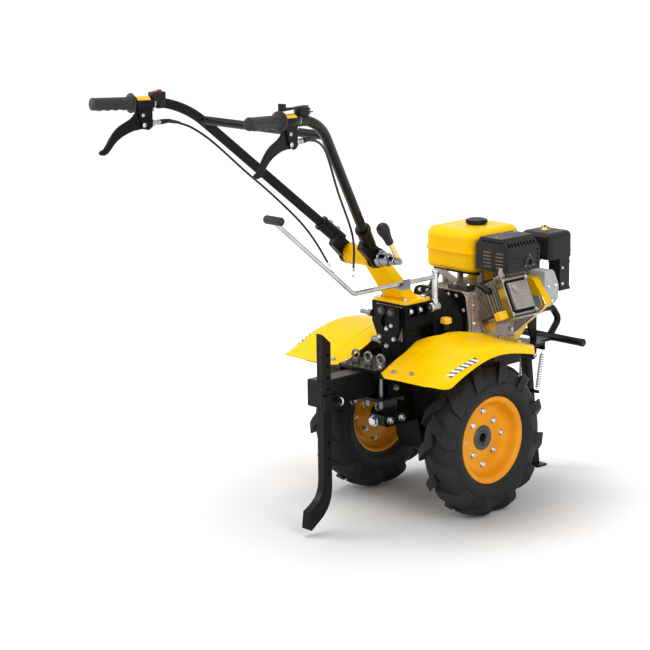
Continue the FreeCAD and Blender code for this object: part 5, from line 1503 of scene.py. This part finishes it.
def rounded(x, y, z, radius, steps=6):
    """A level rounded rectangle's outline, in metres."""
    places = []
    for cx, cy, start in ((x[1], y[1], 0), (x[0], y[1], 90), (x[0], y[0], 180), (x[1], y[0], 270)):
        for step in range(steps + 1):
            turn = math.radians(start + 90 * step / steps)
            middle_x = cx - math.copysign(radius, cx - sum(x) / 2)
            middle_y = cy - math.copysign(radius, cy - sum(y) / 2)
            places.append(at(middle_x + radius * math.cos(turn), middle_y + radius * math.sin(turn), z))
    return places


class TILLER_OT_tank_and_cleaner(bpy.types.Operator):
    """Add the fuel cap, tank arm and stays, coil cover, and the air cleaner's and carburettor's parts"""
    bl_idname = "tiller.tank_and_cleaner"
    bl_label = "Tank and air cleaner"

    cap, cap_ribs = Vector((-40, 247, DECK + 304)), 36
    stud = Vector((112, 356, DECK + 292))         # the foot of the air cleaner's wing nut
    wing = ((4, 2.4), (10, 4), (13.5, 9), (12, 13), (8, 10), (4, 6.6))

    def execute(self, context):
        up, right = (0, 0, 1), (1, 0, 0)
        body = single("cap_body", "moulded_black_nylon", turned, mm(self.cap), up,
                      [(0, 26), (3.8, 26), (4, 28.6), (13, 28.4), (14.6, 26.5), (15, 18), (13.4, 17)], 48)
        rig.replaces(body, "fuel_cap")
        bm = bmesh.new()
        cuboid(bm, (27.6, 30), (-1.1, 1.1), (4.2, 13), near_origin)
        series("cap_ribs", template("rib", bm), "moulded_black_nylon", "chassis", self.cap_ribs, mm(self.cap),
               turn=(0, 0, math.tau / self.cap_ribs))
        single("tank_arm", "die_cast_aluminium", prism, [
            at(x, 130, z) for x, z in ((-83, 606), (-44, 606), (0, 588), (0, 576), (-16, 576), (-70, 594))],
            (0, -4, 0), bevel=1.0)
        single("coil_cover", "heat_browned_steel", cuboid, (-8, 60), (96, 132), (563, 580), bevel=1.5)
        bm = bmesh.new()
        cuboid(bm, (-112, 46), (150, 166), (599, 605))
        prism(bm, [at(-96, 140, 602), at(-96, 137, 602), at(-64, 78, 566), at(-64, 82, 566)], (24, 0, 0))
        piece("tank_stays", bm, "black_chassis_enamel", "chassis", bevel=1.2)
        fastened("tank_screws", hexagon_bolt, "bright_zinc_plate", "chassis",
                 [((x, y, 662), up, 0.6) for x in (-138, 50) for y in (160, 310)] +
                 [((52, 114, 579), right, 0.7), ((20, 96, 580), (0, -1, 0), 0.7)])
        bm = bmesh.new()
        prism(bm, rounded((63, 173), (306, 405), 649, 17), (0, 0, 4.5))
        for x in (84, 140, 152):
            cuboid(bm, (x - 1.5, x + 1.5), (305.4, 309), (656, 690))
        cuboid(bm, (126, 170), (352, 396), (543.5, 550))
        cuboid(bm, (126.6, 169.4), (352.6, 395.4), (618, 622))
        piece("cleaner_lid_band", bm, "moulded_black_nylon", "chassis", bevel=0.8)
        bm = bmesh.new()
        turned(bm, mm(self.stud), up, [(-1, 12), (1.4, 12), (1.6, 7.4), (3, 7), (7.6, 5.4), (8, 4)], 28)
        for side in (1, -1):
            prism(bm, [mm(self.stud + Vector((side * out, -1.3, rise))) for out, rise in self.wing], (0, 2.6, 0))
        piece("cleaner_wing_nut", bm, "yellow_zinc_plate", "chassis", bevel=0.4)
        fastened("cleaner_screws", hexagon_bolt, "bright_zinc_plate", "chassis", [
            ((168, 364, 562), right, 0.55), ((168, 364, 606), right, 0.5), ((148, 354, 560), (0, -1, 0), 0.5),
            ((172, 300, DECK + 150), right, 0.8), ((172, 330, DECK + 150), right, 0.8),
            ((172, 316, DECK + 108), right, 0.7)])
        bm = bmesh.new()
        turned(bm, at(98, 300, 588), (0, 0, -1), [(0, 15), (14, 15), (17, 12), (18, 5), (20, 5), (20.5, 3)], 24)
        cuboid(bm, (115, 119), (292, 308), (596, 612))
        cuboid(bm, (118, 136), (296, 300), (606, 609))
        tube(bm, [at(116, 297, 600), at(124, 280, 604), at(124, 250, 600)], 1.8, 8)
        piece("carburettor_bowl", bm, "bright_zinc_plate", "chassis", bevel=0.5)
        return {"FINISHED"}


# ---- fenders, hitch and front ------------------------------------------------------------------------

class TILLER_OT_fenders(bpy.types.Operator):
    """Add the fenders' bolts, pressed beads and plain slanted bars"""
    bl_idname = "tiller.fenders"
    bl_label = "Fender details"

    bolts = ((111, -237), (171, -233), (137, 147), (184, 165))
    bars, bar_start, bar_end = 6, Vector((276, -206)), Vector((287, -112))
    bead_steps, bead_run = 24, 321.6
    film_thickness = 0.0007                       # in metres; drawn thicker than real film, to be a solid

    def execute(self, context):
        spots, beads, film, white = [], bmesh.new(), bmesh.new(), bmesh.new()
        for side, name in ((1, "right"), (-1, "left")):
            tree = skin("fender_" + name)
            for x, y in self.bolts:
                place, way = dropped(tree, side * x, y)
                spots.append((in_mm(place), tuple(way), 0.9))
            tube(beads, [self.on_bead(tree, side, step / self.bead_steps) for step in range(self.bead_steps + 1)],
                 2.0, 8)
            self.strip(film, tree, side, 0, 1, 7.2, 0.25)
            for bar in range(self.bars):
                start = (bar + 0.2) / self.bars
                self.strip(white, tree, side, start, start + 0.56 / self.bars, 6.4, 0.5, slant=0.4 / self.bars)
        fastened("fender_bolts", hexagon_bolt, "bright_zinc_plate", "chassis", spots)
        piece("fender_beads", beads, "yellow_powder_coat", "chassis")
        piece("bar_strips", film, "black_vinyl_film", "chassis")
        piece("slanted_bars", white, "white_vinyl_film", "chassis")
        return {"FINISHED"}

    def on_bead(self, tree, side, share):
        """A place on the pressed bead, at a share of its length."""
        return dropped(tree, side * (118 + 10 * math.sin(share * math.pi)), -228 + self.bead_run * share, -0.6)[0]

    def strip(self, bm, tree, side, start, end, half, lift, slant=0.0):
        """A thin film on a fender, between two shares of the bars' line."""
        run = self.bar_end - self.bar_start
        out = Vector((run.y, -run.x)).normalized() * half
        steps = max(1, round((end - start) * 24))
        rows = []
        for step in range(steps + 1):
            row = []
            for edge in (-1, 0, 1):
                spot = self.bar_start + run * (start + (end - start) * step / steps + slant * edge) + out * edge
                top = dropped(tree, side * spot.x, spot.y, lift)[0]
                row.append((bm.verts.new(top), bm.verts.new(top - Vector((0, 0, self.film_thickness)))))
            rows.append(row)
        for row, following in zip(rows, rows[1:]):
            for i in (0, 1):
                bm.faces.new([row[i][0], row[i + 1][0], following[i + 1][0], following[i][0]])
                bm.faces.new([row[i][1], following[i][1], following[i + 1][1], row[i + 1][1]])
            for i in (0, 2):
                bm.faces.new([row[i][0], following[i][0], following[i][1], row[i][1]])
        for row in (rows[0], rows[-1]):
            for i in (0, 1):
                bm.faces.new([row[i][0], row[i + 1][0], row[i + 1][1], row[i][1]])


class TILLER_OT_stake(bpy.types.Operator):
    """Make the drag stake, curved back at its foot, with its row of holes"""
    bl_idname = "tiller.stake"
    bl_label = "Drag stake"

    # (ahead, above the floor) outlines of its two edges, each from the top or the foot onwards
    front = ((-383, 503), (-381, 499), (-381, 128), (-382, 108), (-385, 90), (-391, 74), (-400, 60), (-412, 47),
             (-426, 36), (-441, 26), (-457, 15))
    back = ((-471, 23), (-469, 42), (-466, 67), (-452, 74), (-438, 83), (-426, 94), (-418, 107), (-413, 122),
            (-411, 140), (-411, 527))
    holes, hole_y = (470, 440, 410, 380, 350, 238, 196, 154), -392

    def execute(self, context):
        bm = bmesh.new()
        prism(bm, [at(5, y, z) for y, z in self.front + self.back], (22, 0, 0))
        bar = template("bar", bm)
        bm = bmesh.new()
        for z in self.holes:
            turned(bm, at(0, self.hole_y, z), (1, 0, 0), [(0, 4), (32, 4)], 20)
        mesh = taken_out(bar, template("holes", bm))
        stake = shown("curved_stake", mesh, "black_chassis_enamel", "chassis", bevel=0.8, sharp=40)
        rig.replaces(stake, "drag_stake")
        return {"FINISHED"}


class TILLER_OT_hitch(bpy.types.Operator):
    """Add the hitch's nuts, the lug's and the bed's bolts and the drag stake's ring bolt"""
    bl_idname = "tiller.hitch"
    bl_label = "Hitch details"

    def execute(self, context):
        right, up = (1, 0, 0), (0, 0, 1)
        spots = []
        for side, low_x in ((1, 35), (-1, -20)):
            spots += [((low_x, y, 258), (side, 0, 0), 1.3) for y in (-176, -132)]
            spots += [((side * 62, -180, z), (side, 0, 0), 1.0) for z in (352, 388)]
        spots += [((x, -236, DECK - 2), up, 0.8) for x in (-60, 60)]
        fastened("hitch_nuts", nut_and_thread, "bright_zinc_plate", "chassis", spots)
        fastened("lug_bolt", hexagon_bolt, "bright_zinc_plate", "chassis", [((-1, -196, 254), (0, -1, 0), 1.7)])
        fastened("bed_bolts", hexagon_bolt, "bright_zinc_plate", "chassis",
                 [((x, y, ENGINE_FOOT), up, 0.9) for x in (-36, 36) for y in (290, 326)] +
                 [((side * 116, 155, DECK - 12), (side, 0, -0.6), 0.7) for side in (1, -1)])
        bm = bmesh.new()
        section = [(2.6 * math.cos(turn), 9 + 2.6 * math.sin(turn))
                   for turn in (math.tau * step / 10 for step in range(10))]
        turned_ring(bm, at(48, -368, 348), (0, 1, 0), section, 32)
        turned(bm, at(34, -368, 348), right,
               [(0, 9.8), (1.2, 9.8), (1.4, 8.6), (6, 8.6), (6.6, 5.2), (10, 5.2)], 6)
        piece("stake_ring_bolt", bm, "bright_zinc_plate", "chassis")
        return {"FINISHED"}


class TILLER_OT_front(bpy.types.Operator):
    """Make the stand's coil springs and add the front bar's end caps and the stand's nuts"""
    bl_idname = "tiller.front"
    bl_label = "Front stand and bar"

    hinge = Vector((31, 410, DECK - 82))          # the right end of the stand's hinge bolt
    reach, lean = 108, math.radians(6.5)          # from the hinge down to the springs' peg
    peg = hinge + Vector((0, math.sin(lean), -math.cos(lean))) * reach
    lip = Vector((38, 437, 344.4))                # where a spring hangs on the front bracket
    coils, coil_steps, coil_radius, wire_radius, hook = 20, 12, 6.2, 1.5, 12

    def execute(self, context):
        for side, name in ((1, "right"), (-1, "left")):
            self.spring(side, name)
        bm = bmesh.new()
        for side in (1, -1):
            turned(bm, at(0, 510, DECK - 49), (side, 0, 0),
                   [(113, 11.1), (113.5, 11.7), (123, 11.7), (124.6, 11), (125.6, 8)], 28)
        piece("bar_end_caps", bm, "moulded_black_nylon", "chassis")
        fastened("stand_nuts", nut_and_thread, "bright_zinc_plate", "chassis",
                 mirrored_spots([(tuple(self.hinge), (1, 0, 0), 0.8)]))
        return {"FINISHED"}

    def spring(self, side, name):
        """A coil spring with straight hooked ends, that turns with the stand at its lower end."""
        top, bottom = (Vector((side * p.x, p.y, p.z)) for p in (self.lip, self.peg))
        way = (bottom - top).normalized()
        first, second = across(way)
        coiled = (bottom - top).length - 2 * self.hook
        path = [mm(top + way * 1.6), mm(top + way * 6)]
        steps = self.coils * self.coil_steps
        for step in range(steps + 1):
            turn = math.tau * step / self.coil_steps
            path.append(mm(top + way * (self.hook + coiled * step / steps)
                           + (first * math.cos(turn) + second * math.sin(turn)) * self.coil_radius))
        path += [mm(bottom - way * 7.5), mm(bottom - way * 6)]
        bm = bmesh.new()
        tube(bm, path, self.wire_radius, 8)
        made = piece("stand_spring_" + name, bm, "spring_steel", None, sharp=60)
        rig.blend(made, "chassis", "front_stand", start=tuple(mm(top)), end=tuple(mm(bottom)))
        if name == "right":
            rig.replaces(made, "stand_springs")


# ---- the list of operators ---------------------------------------------------------------------------

GROUPS = {"wheels": TillerWheels, "engine": TillerEngine, "colours": TillerColours, "stage": TillerStage}
OPERATORS = tuple(kind for name, kind in list(globals().items()) if name.startswith("TILLER_OT_"))


class TILLER_PT_panel(bpy.types.Panel):
    """The tiller's sizes, colours and pieces"""
    bl_idname = "TILLER_PT_panel"
    bl_label = "Tiller"
    bl_space_type = "VIEW_3D"
    bl_region_type = "UI"
    bl_category = "Tiller"

    def draw(self, context):
        for name, kind in GROUPS.items():
            box = self.layout.box()
            for setting in kind.__annotations__:
                box.prop(group(name), setting)
        for kind in OPERATORS:
            self.layout.operator(kind.bl_idname)


def register():
    """Makes the settings, the operators and the panel known to Blender."""
    for kind in (*GROUPS.values(), *OPERATORS, TILLER_PT_panel):
        bpy.utils.register_class(kind)
    for name, kind in GROUPS.items():
        setattr(bpy.types.Scene, "tiller_" + name, PointerProperty(type=kind))


def unregister():
    """Takes back what register made."""
    for name in GROUPS:
        delattr(bpy.types.Scene, "tiller_" + name)
    for kind in (TILLER_PT_panel, *OPERATORS, *GROUPS.values()):
        bpy.utils.unregister_class(kind)


def main():
    """Makes everything in order, and writes the sizes of the frame and of the finished machine."""
    register()
    for kind in OPERATORS:
        getattr(bpy.ops.tiller, kind.bl_idname.split(".")[1])()
    boxes = {"cad": CAD_BOUNDS, "visual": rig.bounds()}
    with open("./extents.json", "w") as out:
        json.dump({name: [list(corner) for corner in box] for name, box in boxes.items()}, out)


if __name__ == "__main__":
    main()
